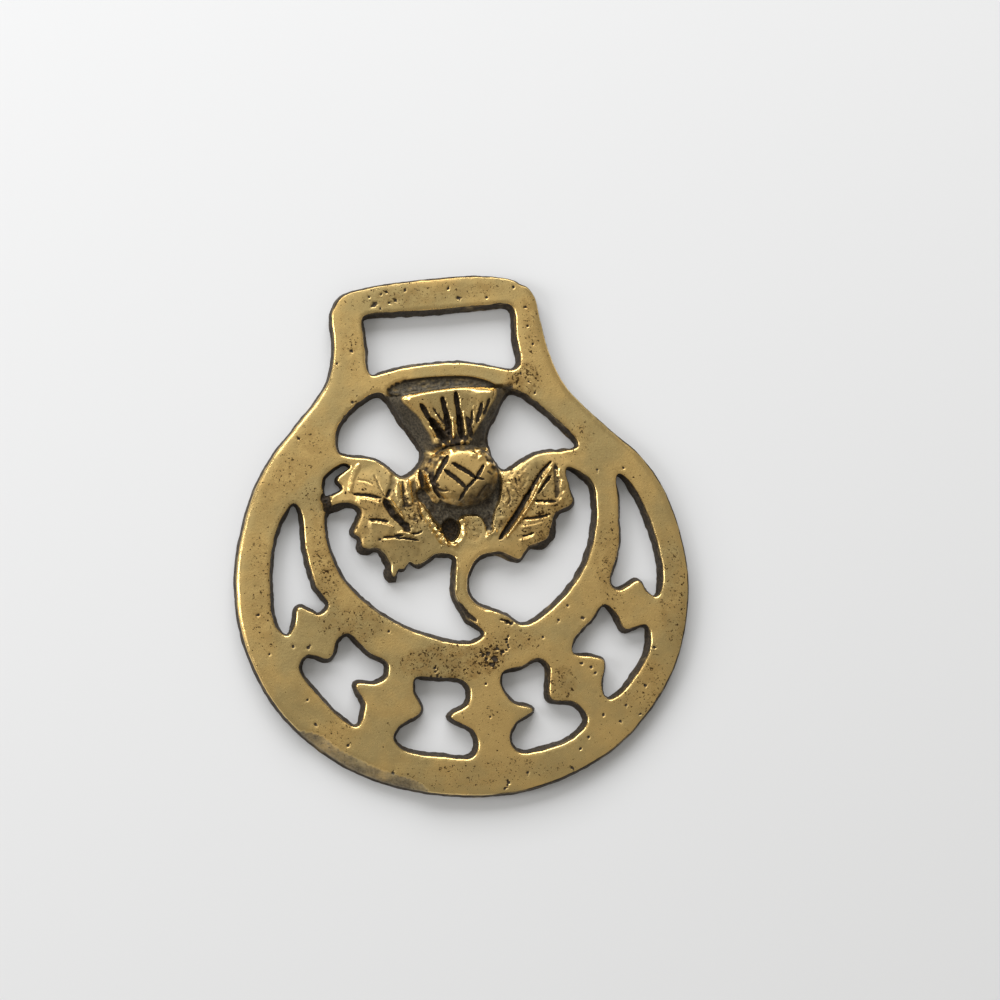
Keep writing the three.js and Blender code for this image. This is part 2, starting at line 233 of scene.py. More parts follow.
CUP_MIDDLE = (1.0, 15.0)
CUP_HALF = (6.35, 5.4)
CUP_FOOT = 2.0
CUP_TOP = 6.75
CUP_FLAT = 0.34
LUMP_HEIGHT = 0.52
LUMPS = [
    # round the cup's top and left shoulder
    (-3.3, 18.3, 0.9), (-2.3, 18.8, 0.9), (-0.8, 19.3, 0.95), (-4.4, 17.2, 0.9), (-5.2, 15.5, 0.8),
    (-5.1, 14.4, 0.8), (-4.8, 13.4, 0.8), (-4.3, 12.4, 0.75), (-3.7, 11.4, 0.75),
    (3.1, 18.1, 0.9), (3.9, 18.9, 0.9), (4.3, 17.8, 0.9), (5.2, 18.1, 0.7), (5.5, 16.3, 0.9),
    (6.4, 16.4, 0.6), (6.6, 14.9, 0.6), (-3.5, 16.4, 0.4),
    # where the flower stands on the cup
    (-1.7, 20.3, 0.6), (-0.8, 20.8, 0.6), (1.4, 20.5, 0.6), (2.4, 20.4, 0.6), (0.2, 21.6, 0.55),
    # down the ridge beside the pit, and round its foot
    (-4.9, 8.2, 0.7), (-4.5, 7.3, 0.85), (-4.05, 6.4, 0.85), (-3.6, 5.5, 0.9), (-3.15, 4.7, 0.95),
    (-2.6, 3.9, 0.9), (-1.0, 3.5, 0.7), (0.5, 7.6, 0.7), (4.6, 4.6, 0.6), (5.6, 5.4, 0.8),
    (5.4, 6.3, 0.5), (4.4, 6.2, 0.4),
]
CUP_PIT = [(-1.5, 8.3), (0.1, 7), (-0.5, 4.9), (-1.6, 4.2), (-2.7, 5.2), (-3.1, 7.0)]
PIT_FLOOR = 0.9
MOAT = [
    (-6.6, 13.3), (-5.7, 13.5), (-4.6, 12.9), (-3.4, 12), (-1.5, 11.4), (1.2, 11), (4.5, 12),
    (6, 13.6), (6.9, 15.4), (7.4, 14.6), (7.45, 12.6), (7, 10.6), (6.1, 8.9), (5.5, 7), (5.3, 5.3),
    (4.5, 5.1), (4.2, 6.6), (3.5, 8), (1.9, 8.4), (0.4, 8.3), (-0.6, 7.3), (-2.2, 6.6),
    (-3.5, 7.4), (-4.6, 8.7), (-5.7, 10.4), (-6.7, 12),
]
MOAT_FLOOR = 2.1
# no part of the relief rises past the solid's top
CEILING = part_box("horse_brass")[1][2] / MM - 0.01

# each leaf: the middle, half sizes and turn of its oval, and how far it swells
LEFT_LEAF = ((-11.3, 9.6), (9.6, 8.8), -0.25, 0.42)
RIGHT_LEAF = ((12.4, 9.3), (10.6, 7.6), 0.88, 0.65)
# sand grain on the fold beside the cup, left of the right midrib, and on the calyx
SANDY_PLACES = [
    ((-8.2, 10.2), (2.4, 4.6), 0, 1.0), ((9.8, 12.6), (4.6, 2.0), 1.1, 1.0),
    ((2.2, 6.2), (1.8, 2.8), 0, 0.5), ((6.4, 7.6), (1.4, 2.6), 0.3, 0.8),
]
SAND_GRAIN = 0.16
LEAF_GRAIN = 0.05
GRAIN = [(0.6, 0.62, 6), (0.4, 0.33, 7)]
# the plate's unevenness: the height, size and seed of each wave
PLATE_WAVES = [(0.085, 8.0, 1), (0.03, 2.8, 2), (0.006, 1.1, 4)]
WAVE_DROP = 0.06
# how deep in dirt each place lies, or in painted shade where its key says so; 0 is polished brass,
# 1 black
DIRT_AND_SHADE = {
    "leaf": 0.27, "midrib slope's painted shade": 0.5, "sand": 0.3, "flank": 0.72, "flower foot": 0.75,
    "flower's right": 0.5, "sunk band": 0.68, "sunk band's edge": 0.9, "moat": 0.9,
    "cup": 0.24, "cup's top edge": 0.62, "cup's low edge": 0.35, "cup's painted shade side": 0.4,
    "cup's foot, patina and painted shade": 0.85, "cup's top, painted shade": 0.6, "flower and cup join": 0.8, "painted shade beside the cup": 0.6,
    "painted shade left of the cup": 0.65,
}

# each stroke: its line, its half width, and how deep it is cut (or how high it stands)
FLOWER_CUTS = [
    ([(-4.9, 27.4), (-3.7, 25), (-2.5, 23), (-1.5, 21.4)], 0.5, 1.0),
    ([(-3.4, 24.8), (-2.6, 23.2), (-1.6, 21.6), (-0.9, 20.6)], 0.8, 0.9),
    ([(-1.25, 28.3), (-0.9, 26), (-0.6, 24), (-0.5, 22.8)], 0.46, 1.0),
    ([(-0.8, 25.2), (-0.65, 23.6), (-0.6, 22)], 0.62, 0.6),
    ([(1.1, 28.9), (1.25, 26), (1.35, 23), (1.4, 21.2)], 0.46, 1.15),
    ([(1.3, 25), (1.4, 23.2), (1.5, 21.4)], 0.66, 0.7),
    ([(2.6, 24.6), (2.9, 22.8), (3.1, 21.2)], 0.5, 0.4),
    ([(-2.9, 26.6), (-2, 25), (-1.3, 23.8)], 0.2, 0.35),
    ([(3.6, 25.7), (3.4, 24.2), (3, 22.8)], 0.24, 0.4),
    ([(5.3, 26.8), (4.8, 25), (4.2, 23.6)], 0.36, 0.5),
    ([(6.7, 27.4), (6.1, 26), (5.5, 24.8)], 0.3, 0.4),
]
FLOWER_RIDGES = [
    ([(0.15, 24.6), (0.2, 23), (0, 21.4)], 0.3, 0.4),
    ([(2.1, 25.5), (2.2, 23.4), (2.1, 21.6)], 0.28, 0.3),
    ([(-2.6, 25.4), (-1.7, 23.6)], 0.2, 0.25),
    ([(3.9, 26.4), (3.8, 24.2)], 0.22, 0.22),
    ([(-3.5, 23.6), (-3, 22)], 0.3, 0.35),
    ([(-6.9, 28.3), (-6.1, 26.8)], 0.3, 0.2),
]
CUP_CUTS = [
    ([(-1.3, 18.3), (-2.6, 16.5), (-4, 14.3)], 0.44, 0.65),
    ([(-0.7, 17.05), (0.8, 16.05), (2.1, 15.1), (2.9, 14.3)], 0.38, 0.65),
    ([(2.8, 14.3), (4.3, 13.9)], 0.22, 0.4),
    ([(-2.1, 16), (-0.5, 14.6), (1.1, 12.9)], 0.38, 0.6),
    ([(4.5, 16.3), (3.5, 14.9), (2.9, 14.1)], 0.32, 0.55),
    ([(3, 14.2), (1.4, 12.8), (0, 10.9)], 0.3, 0.55),
    ([(4.9, 13.2), (3.9, 12.2), (2.8, 10.8)], 0.26, 0.3),
    ([(-3.9, 13.4), (-2.9, 12.7), (-1.9, 12.5)], 0.26, 0.3),
    ([(-2.3, 13.2), (-1.5, 12.3)], 0.22, 0.2), ([(-4.1, 14.4), (-3.2, 13.4)], 0.25, 0.3),
    ([(-4.5, 15.6), (-4.3, 14.2), (-3.9, 12.9), (-3.1, 11.6)], 0.24, 0.5),
    ([(5, 15.2), (5.9, 14.6)], 0.25, 0.25), ([(5.1, 17), (5.9, 17.1)], 0.2, 0.3),
    ([(-3.4, 12.1), (-2.4, 11.3)], 0.22, 0.25),
]
LEAF_CUTS = [
    # left leaf: the rough midrib, its upper ends, and the side veins from the top down
    ([(-12.2, 12.2), (-11.7, 10.9), (-10.7, 9.4), (-9.5, 7.8), (-8.5, 6.7)], 0.68, 0.85),
    ([(-10.4, 16.3), (-10.5, 15), (-11, 13.8), (-11.7, 12.8)], 0.6, 0.2),
    ([(-11.1, 13.8), (-11.5, 13.2), (-11.9, 12.4)], 0.25, 0.35),
    ([(-13.6, 16.3), (-13.1, 15.2), (-12.9, 14.3), (-12.3, 13)], 0.2, 0.2),
    ([(-16.4, 15.9), (-14.9, 15.5), (-14, 14.9)], 0.16, 0.15),
    ([(-17.2, 13.5), (-15.6, 13.3), (-14, 12.9), (-12.8, 12.5)], 0.26, 0.42),
    ([(-15.1, 9.1), (-13.6, 8.95), (-11.9, 8.5)], 0.24, 0.45),
    ([(-13, 5.9), (-11, 6), (-9.6, 6)], 0.2, 0.36),
    ([(-10.9, 5.6), (-9, 5.35), (-7.2, 4.9)], 0.2, 0.42),
    ([(-8.4, 6.1), (-7.2, 6.1), (-6.4, 6.4)], 0.2, 0.4),
    # the fold between the left leaf and the cup
    ([(-8.9, 15), (-9, 13), (-8.9, 10.6)], 0.2, 0.28),
    ([(-6.7, 11.2), (-6.6, 9.6), (-6.3, 8.2)], 0.2, 0.35),
    ([(-7.1, 14.8), (-7.1, 13), (-6.9, 11.4)], 0.5, 0.24),
    ([(-5.8, 16.6), (-5.75, 15.2), (-5.7, 13.7)], 0.34, 0.35),
    ([(-21.95, 14), (-21.9, 12.5), (-21.8, 10.9)], 0.85, 1.1),
    # right leaf: the midrib's groove, thinner above, and the side veins from the top down
    ([(6.4, 4), (7.5, 5.2), (9.3, 7.4), (11, 9.6), (12.4, 11.7)], 0.44, 1.0),
    ([(11.9, 10.9), (13.2, 12.8), (14.7, 14.8), (16.3, 16.2)], 0.25, 0.6),
    ([(13.3, 10.9), (14.5, 12.2), (15.9, 13.8)], 0.24, 0.45),
    ([(12.9, 9.8), (14.3, 9.65), (16.4, 9.4)], 0.21, 0.5),
    ([(10.9, 7), (12.9, 7), (15, 7.25)], 0.22, 0.5),
    ([(10.2, 4.1), (11.2, 4.2), (12.2, 4.5)], 0.18, 0.4),
    ([(16.9, 15.6), (16.9, 12.6), (16.6, 10)], 0.55, 0.26),
    ([(9.9, 14), (10.2, 12.6)], 0.16, 0.25),
    ([(8.4, 12.4), (8.9, 10.6), (8.2, 9.4)], 0.2, 0.25),
    # the cuts at the stem's foot
    ([(-1.6, -5.8), (-0.6, -7.3), (0.4, -8.6), (1.3, -9.4)], 0.4, 0.35),
    ([(5.2, -9.4), (6.2, -9.7), (7, -10.3)], 0.26, 0.35),
]
LEAF_RIDGES = [
    ([(-11.3, 12.2), (-10.8, 11.3), (-10.1, 10.1), (-9.3, 8.8)], 0.24, 0.4),
    ([(-9.8, 14.8), (-9.8, 13), (-9.7, 11.4)], 0.5, 0.24),
    ([(-8.1, 15.2), (-8.1, 13), (-7.9, 11)], 0.5, 0.28),
    ([(-6.4, 16.2), (-6.4, 15), (-6.2, 13.7)], 0.26, 0.5),
    ([(-5.2, 16.2), (-5.1, 14.5), (-4.7, 13.1), (-4.2, 12.1), (-3.5, 11.1)], 0.5, 0.5),
    ([(-6.5, 11.2), (-5.8, 9.7), (-5.1, 8.2), (-4.5, 7.1), (-3.9, 6), (-3.3, 4.9), (-2.7, 3.9)],
     0.85, 0.7),
    ([(-2.7, 3.9), (-1.4, 3.5), (0, 4.1), (0.7, 5.3), (0.7, 7)], 0.36, 0.3),
    ([(-15.9, 18.4), (-16.8, 17), (-17.5, 15.5), (-17.8, 14)], 0.5, 0.2),
    ([(7.5, 4.1), (9.4, 6.2), (11, 8.1), (12.4, 9.9), (13.4, 11.6), (15, 13.8), (16.1, 15)],
     0.34, 0.6),
    ([(17.3, 14.8), (17.4, 13.4)], 0.42, 0.22), ([(17.7, 12.8), (17.9, 11.6)], 0.45, 0.28),
    ([(17.8, 10.8), (18.2, 9.9)], 0.5, 0.32), ([(17.1, 9.7), (17.5, 9.1)], 0.4, 0.25),
    ([(8, 15.1), (9.6, 15.6), (11.4, 16.6)], 0.4, 0.25),
    ([(-1.2, 1.5), (-1.5, -1.5), (-1.7, -4.2)], 0.45, 0.35),
    ([(4.7, 5.6), (4.9, 4.7)], 0.4, 0.5),
    ([(-10.5, 6.5), (-9.5, 6.35), (-8, 5.8)], 0.28, 0.35),
]
# each lip: its line, with the raised side on the right going along it, its height and its fade
LEAF_LIPS = [
    ([(-17, 13), (-15.2, 12.7), (-13.8, 12.2), (-12.4, 11.6)], 0.5, 1.9),
    ([(-15.4, 8.8), (-13.8, 8.6), (-12, 8.1), (-10.8, 7.3)], 0.45, 1.7),
    ([(-13.5, 5.6), (-11, 5.75), (-9, 5.3), (-6.9, 4.8)], 0.35, 1.4),
    ([(12.8, 9.5), (14.5, 9.25), (16.4, 9.15)], 0.34, 1.2),
    ([(10.7, 6.75), (12.8, 6.75), (15, 7)], 0.34, 1.1),
    ([(9.8, 5.8), (12, 5.85), (14.3, 6.3)], 0.2, 0.8),
    ([(9.4, 3.6), (11, 3.7), (12.3, 4.2)], 0.28, 0.9),
    ([(13, 10.7), (14.6, 12.2), (15.9, 13.5)], 0.25, 1.0),
]
MIDRIB_SLOPE = ([(16.3, 16.2), (14.7, 14.8), (12.4, 11.7), (9.3, 7.4), (6.4, 4)], 0.75, 1.0)


def smooth_step(low, high, value):
    """0 below low, 1 above high, and 3t^2 - 2t^3 between."""
    t = np.clip((value - low) / (high - low), 0, 1)
    return t * t * (3 - 2 * t)


def open_line(points, count=18):
    """The points joined by straight stretches, resampled to an even count and evened out twice."""
    line = np.array(points, float)
    length = np.r_[0, np.cumsum(np.linalg.norm(np.diff(line, axis=0), axis=1))]
    at = np.linspace(0, length[-1], count)
    line = np.stack([np.interp(at, length, line[:, k]) for k in (0, 1)], -1)
    for _ in range(2):
        line[1:-1] = (line[:-2] + 2 * line[1:-1] + line[2:]) / 4
    return line


def to_stretch(dx, dy, run):
    """Distance to a straight stretch from a point that is dx, dy from its start, and where along
    it the nearest place is: the dot product over the squared length, held between 0 and 1."""
    t = np.clip((dx * run[:, 0] + dy * run[:, 1]) / np.sum(run ** 2, 1), 0, 1)
    return np.hypot(dx - t * run[:, 0], dy - t * run[:, 1]), t


def to_line(x, y, line, closed=False):
    """Distance to the nearest stretch of a line, and how far along it that is, from 0 to 1."""
    start = line if closed else line[:-1]
    run = (np.roll(line, -1, 0) if closed else line[1:]) - start
    apart, t = to_stretch(x[:, None] - start[:, 0], y[:, None] - start[:, 1], run)
    nearest = np.argmin(apart, 1)
    rows = np.arange(len(x))
    return apart[rows, nearest], (nearest + t[rows, nearest]) / len(start)


def in_box_round(x, y, line, reach=0):
    """True within the reach of the smallest upright box round a line."""
    low, high = line.min(0) - reach, line.max(0) + reach
    return (x > low[0]) & (x < high[0]) & (y > low[1]) & (y < high[1])


def inside(x, y, loop):
    """Even-odd rule: a point is inside if a ray towards +X crosses the loop an odd number of
    times."""
    a, b = loop, np.roll(loop, -1, 0)
    spans = (a[:, 1] > y[:, None]) != (b[:, 1] > y[:, None])
    rise = np.where(b[:, 1] == a[:, 1], 1.0, b[:, 1] - a[:, 1])
    cross = a[:, 0] + (y[:, None] - a[:, 1]) * (b[:, 0] - a[:, 0]) / rise
    return np.sum(spans & (x[:, None] < cross), 1) % 2 == 1


def stroke(x, y, points, half_width, reach=1.0):
    """A chiselled stroke's profile, from 0 at its edges to 1 in the middle: one minus the square
    of the distance over the half width, which narrows towards both ends."""
    line = open_line(points)
    near = in_box_round(x, y, line, reach)
    profile = np.zeros_like(x)
    apart, along = to_line(x[near], y[near], line)
    taper = np.clip(np.minimum(along, 1 - along) * 7, 0, 1) ** 0.5
    width = half_width * (0.35 + 0.65 * taper)
    width = width * (1 + 0.22 * lattice_noise(x[near], y[near], 0.5, 5))
    profile[near] = np.clip(1 - (apart / width) ** 2, 0, 1) ** 0.7
    return profile


def within(x, y, points, reach):
    """Signed distance to a smooth closed outline, positive inside, down to -reach."""
    loop = closed_curve(points, 0.5)
    near = in_box_round(x, y, loop, reach)
    depth = np.full_like(x, -reach)
    apart, _ = to_line(x[near], y[near], loop, closed=True)
    depth[near] = np.where(inside(x[near], y[near], loop), apart, -apart)
    return np.maximum(depth, -reach)


def oval(x, y, middle, half, turn):
    """1 minus the squared distance from the middle, as a share of the turned half sizes."""
    c, s = np.cos(turn), np.sin(turn)
    u = (c * (x - middle[0]) + s * (y - middle[1])) / half[0]
    v = (c * (y - middle[1]) - s * (x - middle[0])) / half[1]
    return 1 - u * u - v * v


def patch(x, y, middle, half, turn=0, steep=2):
    """A soft oval patch: the oval's value times the steepness, held between 0 and 1."""
    return np.clip(oval(x, y, middle, half, turn) * steep, 0, 1)


def lip(x, y, points, fade, rise=0.22, reach=4.0):
    """A raised edge: 0 on the line's left, climbing to 1 within the rise on its right, and then
    falling off as the exponential of minus the distance over the fade."""
    line = open_line(points)
    near = np.flatnonzero(in_box_round(x, y, line, reach))
    apart, along = to_line(x[near], y[near], line)
    at = np.clip(along * (len(line) - 1), 0, len(line) - 1.001)
    k = at.astype(int)
    run = line[k + 1] - line[k]
    right = (x[near] - line[k, 0]) * run[:, 1] - (y[near] - line[k, 1]) * run[:, 0] > 0
    ends = np.clip(np.minimum(along, 1 - along) * 6, 0, 1)
    value = np.zeros_like(x)
    value[near] = right * smooth_step(0, rise, apart) * np.exp(-apart / fade) * ends
    return value


def relief(x, y):
    """Height of the face over the back at each point, how deep in dirt and painted shade it lies,
    and how far that darkening is grey dust (both 0 to 1).
    The plate is flat but for a slight waviness. The leaves swell as ovals and their lobes overlap
    in lips, the flower is a flat fan with sloping sides, the cup is a steep dome in a moat, and
    the strokes are cut down or raised along their lines."""
    z = np.full_like(x, THICKNESS - WAVE_DROP)
    for height, size, seed in PLATE_WAVES:
        z = z + height * lattice_noise(x, y, size, seed)
    grain = waves(x, y, GRAIN)
    dirt_and_shade = np.zeros_like(x)

    for middle, half, turn, swell in (LEFT_LEAF, RIGHT_LEAF):
        on_leaf = patch(x, y, middle, half, turn, 1)
        z = z + swell * np.sin(np.pi / 2 * on_leaf) ** 1.5
        z = z + LEAF_GRAIN * lattice_noise(x, y, 1.4, 18) * on_leaf ** 0.5
        dirt_and_shade = np.maximum(dirt_and_shade, (DIRT_AND_SHADE["leaf"] + 0.15 * grain) * np.clip(on_leaf * 4, 0, 1))
    for points, height, fade in LEAF_LIPS:
        z = z + height * lip(x, y, points, fade)
    # the right leaf sinks along its midrib, and the slope is also darkened there as painted shade
    points, depth, fade = MIDRIB_SLOPE
    midrib = lip(x, y, points, fade, rise=0.05)
    z = z - depth * midrib
    dirt_and_shade = np.maximum(dirt_and_shade, DIRT_AND_SHADE["midrib slope's painted shade"] * midrib)

    sandy = np.zeros_like(x)
    for middle, half, turn, amount in SANDY_PLACES:
        sandy = np.maximum(sandy, amount * patch(x, y, middle, half, turn))
    z = z + sandy * (SAND_GRAIN * grain - SAND_GRAIN / 2)
    dirt_and_shade = np.maximum(dirt_and_shade, sandy * (DIRT_AND_SHADE["sand"] + 0.55 * np.clip(-grain, 0, 1)))

    # the flower
    fan = within(x, y, FLOWER_TOP, 4.8)
    out = np.clip(-fan, 0, None)
    out = np.where(y > 29.2, out * 3.5, out)
    top = FLOWER_HEIGHT - FLOWER_FALL * np.clip(FLOWER_TIP - y, 0, 9)
    angle = np.arctan2(x - FLUTE_CENTRE[0], y - FLUTE_CENTRE[1])
    flutes = lattice_noise(angle * 26, y * 0.35, 1.0, 8) * smooth_step(29, 25, y)
    slope = (FLOWER_HEIGHT - FLOWER_FOOT) / FLOWER_FLARE
    down = np.sqrt(out ** 2 + TOP_EDGE ** 2) - TOP_EDGE
    flower = top + FLUTE_HEIGHT * flutes - slope * down
    brow = 0.5 + 0.6 * smooth_step(2.5, 5.5, x) * smooth_step(25.5, 28, y)
    inner = np.clip(brow - fan, 0, brow)
    flower = flower - BROW_DROP * (brow - np.sqrt(brow ** 2 - inner ** 2)) * (fan > 0)
    flower = flower - BROW_DROP * brow * (fan <= 0)
    worn_end = smooth_step(28.2 + 0.25 * lattice_noise(x, y, 0.8, 28), 29.6, y)
    flower = flower - WORN_END_DROP * worn_end * smooth_step(1, 6, x)
    beside = (fan > -3.9) & (y > 18.6) & (y < 29.9) & (x > -12) & (x < 11.5)
    blend = smooth_step(30.2, 29.2, y) * smooth_step(-3.8, -3.4, fan) * smooth_step(18.6, 20, y)
    streaks = lattice_noise(angle * 14, y * 0.25, 1.0, 19)
    low = np.maximum(flower, FLOWER_FOOT) + 0.12 * streaks * (out > 0.2)
    z = np.where(beside, z + (np.where(fan > -3.4, low, z) - z) * blend, z)
    z = np.where((fan > -2.0) & (y > 19), np.maximum(z, np.where(y < 30.6, flower, 0)), z)
    flank = smooth_step(0.05, 0.8, out) * blend * (fan > -3.7)
    dirt_and_shade = np.maximum(dirt_and_shade, flank * (DIRT_AND_SHADE["flank"] + 0.16 * streaks))
    worn = DIRT_AND_SHADE["flower foot"] * smooth_step(23.6, 20.8, y)
    worn = worn + DIRT_AND_SHADE["flower's right"] * smooth_step(2.8, 6.6, x + 0.3 * (27 - y))
    worn = worn * smooth_step(29, 27.2, y) * smooth_step(-0.3, 0.5, fan) * (y > 19.6)
    dirt_and_shade = np.maximum(dirt_and_shade, worn * (1 + 0.5 * streaks))

    # the sunk band above the flower
    sunk = within(x, y, RECESS, 1.0)
    scratches = lattice_noise(x * 0.3, y, 0.24, 9)
    floor = RECESS_FLOOR + 0.1 * grain + 0.12 * scratches
    share = smooth_step(-0.15, 0.35, sunk)
    z = z + (np.minimum(z, floor) - z) * share
    dirt_and_shade = np.maximum(dirt_and_shade, share * (DIRT_AND_SHADE["sunk band"] + 0.2 * scratches))
    band_edge = DIRT_AND_SHADE["sunk band's edge"] * smooth_step(-0.2, 0.05, sunk)
    dirt_and_shade = np.maximum(dirt_and_shade, band_edge * smooth_step(0.6, 0.1, sunk))

    # the cup in its moat
    moat = smooth_step(-0.25, 0.3, within(x, y, MOAT, 1.0))
    z = z + (np.minimum(z, MOAT_FLOOR + 0.2 * grain) - z) * moat
    dirt_and_shade = np.maximum(dirt_and_shade, moat * (DIRT_AND_SHADE["moat"] - 0.3 * np.clip(grain, 0, 1)))
    cup = oval(x, y, CUP_MIDDLE, CUP_HALF, 0)
    share = np.clip(cup, 0, 1)
    power = 1.7 + 1.2 * smooth_step(11.5, 16.5, y - 0.3 * x)
    dome = CUP_FOOT + (CUP_TOP - CUP_FOOT) * (1 - (1 - share) ** power) ** 0.5
    flat = CUP_TOP - CUP_FLAT + 0.02 * (y - 15) + 0.06 * lattice_noise(x, y, 2.2, 20)
    dome = dome - np.where(dome > flat - 0.3, (dome - flat + 0.3) ** 2 / 2.2, 0)
    beads = np.zeros_like(x)
    for lump_x, lump_y, size in LUMPS:
        far = (x - lump_x) ** 2 + (y - lump_y) ** 2
        far = far * (1 + 0.6 * lattice_noise(x, y, 0.55, 27))
        beads = np.maximum(beads, size * np.exp(-far ** 1.5 / (0.55 * size) ** 3))
    rough = 0.6 * lattice_noise(x, y, 0.75, 11) + 0.4 * grain
    upper = smooth_step(12, 14.5, y - 0.3 * x)
    band = smooth_step(0.55, 0.33, share)
    dome = dome + (0.45 * rough - 0.22) * upper * band
    z = np.where(cup > 0, np.maximum(z * (cup < 0.05), dome), z)
    # painted shade: the cup's lower right side, turned away from the light, is darkened
    painted_shade_low_side = smooth_step(14, 10.5, y - 0.35 * x) * smooth_step(-3.5, 2, x)
    above = upper * (DIRT_AND_SHADE["cup's top edge"] + 0.45 * rough)
    # soot on the cup's rim band, with painted shade at its foot and on its lower side
    sooty_and_shaded = band * (above + (1 - upper) * DIRT_AND_SHADE["cup's low edge"])
    # the cup's foot is dark with patina, and darker still as painted shade against light bounced
    # about the moat
    sooty_and_shaded = np.maximum(sooty_and_shaded, DIRT_AND_SHADE["cup's foot, patina and painted shade"] * smooth_step(0.22, 0.07, share))
    sooty_and_shaded = np.maximum(sooty_and_shaded, DIRT_AND_SHADE["cup"] + 0.14 * rough + DIRT_AND_SHADE["cup's painted shade side"] * painted_shade_low_side)
    # painted shade along the middle of the cup's top edge, darkening it where no highlight shows
    bare = patch(x, y, (1.3, 19.5), (1.7, 0.8), -0.1)
    dirt_and_shade = np.where(cup > 0, np.maximum(sooty_and_shaded, DIRT_AND_SHADE["cup's top, painted shade"] * bare), dirt_and_shade)
    join = np.exp(-((y - 20.3) / 0.6) ** 2) * smooth_step(4.4, 3.4, np.abs(x))
    # painted shade on the rim above left of the cup, darkening it where no highlight shows
    beside_cup = patch(x, y, (-5.2, 18), (2.2, 2)) * (cup <= 0)
    dirt_and_shade = np.maximum(dirt_and_shade, DIRT_AND_SHADE["flower and cup join"] * join)
    dirt_and_shade = np.maximum(dirt_and_shade, DIRT_AND_SHADE["painted shade beside the cup"] * beside_cup)

    # the strokes, and the lumps of the cup
    for points, half_width, depth in FLOWER_CUTS + CUP_CUTS + LEAF_CUTS:
        profile = stroke(x, y, points, half_width)
        gritty = 0.55 * (half_width > 0.6) * grain
        z = z - (depth - gritty) * profile
        blackness = min(1.0, 0.1 + 2 * depth) - gritty
        dirt_and_shade = np.maximum(dirt_and_shade, np.clip(profile * 1.6, 0, 1) * blackness)
    for points, half_width, height in FLOWER_RIDGES + LEAF_RIDGES:
        profile = stroke(x, y, points, half_width)
        z = z + height * profile * (1 + 0.25 * lattice_noise(x, y, 0.5, 23))
        dirt_and_shade = dirt_and_shade * (1 - 0.9 * np.clip(profile * 1.6, 0, 1))
    z = z + LUMP_HEIGHT * beads
    dirt_and_shade = dirt_and_shade * (1 - 0.85 * np.clip(2.2 * beads - 0.3, 0, 1))
    # painted shade in the crease left of the cup, darkening away light bounced between the cup and
    # the fold
    left_of_cup = patch(x, y, (-5.75, 14.8), (0.5, 2), -0.05)
    dirt_and_shade = np.maximum(dirt_and_shade, DIRT_AND_SHADE["painted shade left of the cup"] * left_of_cup)

    # the pit under the cup
    pit = within(x, y, CUP_PIT, 1.2)
    hollow = smooth_step(-0.1, 0.45, pit)
    z = z + (PIT_FLOOR + 0.25 * grain - z) * hollow
    dirt_and_shade = np.maximum(dirt_and_shade, hollow)
    dust = np.maximum(0.85 * smooth_step(-0.1, 0.4, sunk), 0.6 * flank) * (1 + 0.2 * grain)
    crevice = patch(x, y, (4.9, 7), (1.4, 2.6))
    dust = np.maximum(dust, (0.78 + 0.17 * crevice) * moat * np.clip(grain + 0.75, 0, 1))
    dust = dust * (1 - hollow)
    return np.minimum(z, CEILING), np.clip(dirt_and_shade, 0, 1), np.clip(dust, 0, 1)


# ---------------------------------------------------------------------------------------------
# The casting, horse_brass. One piece of cast brass, poured in a sand mould, fettled at its edges
# and polished on its face. It is made as a closed skin: a face of triangles over the relief, walls
# that lean as a pattern's do so that it leaves the sand, and a flat back.
# ---------------------------------------------------------------------------------------------
EDGE_RADIUS = 0.4
THISTLE_EXTRA_RADIUS = 0.26
RING_EXTRA_RADIUS = 0.24
HOLE_LEAN = 0.62
LEAN_OF_ROOM = 0.42
INSET_ROWS = (0.04, 0.11, 0.22, 0.38)
WALL_ROWS = (0.1, 0.3, 0.55, 0.8, 0.94)
WALL_WAVES = [(0.16, 1.1, 13), (0.1, 0.5, 14)]
# how far apart the skin's points lie, and how far they keep from the edges
SPACING = {"ring": 0.46, "thistle": 0.175, "pit": 0.14, "back": 1.2}
EDGE_GAP = {"ring": 0.6, "thistle": 0.43, "pit": 0.45, "back": 0.5}
PIT_DEPTH = 0.24
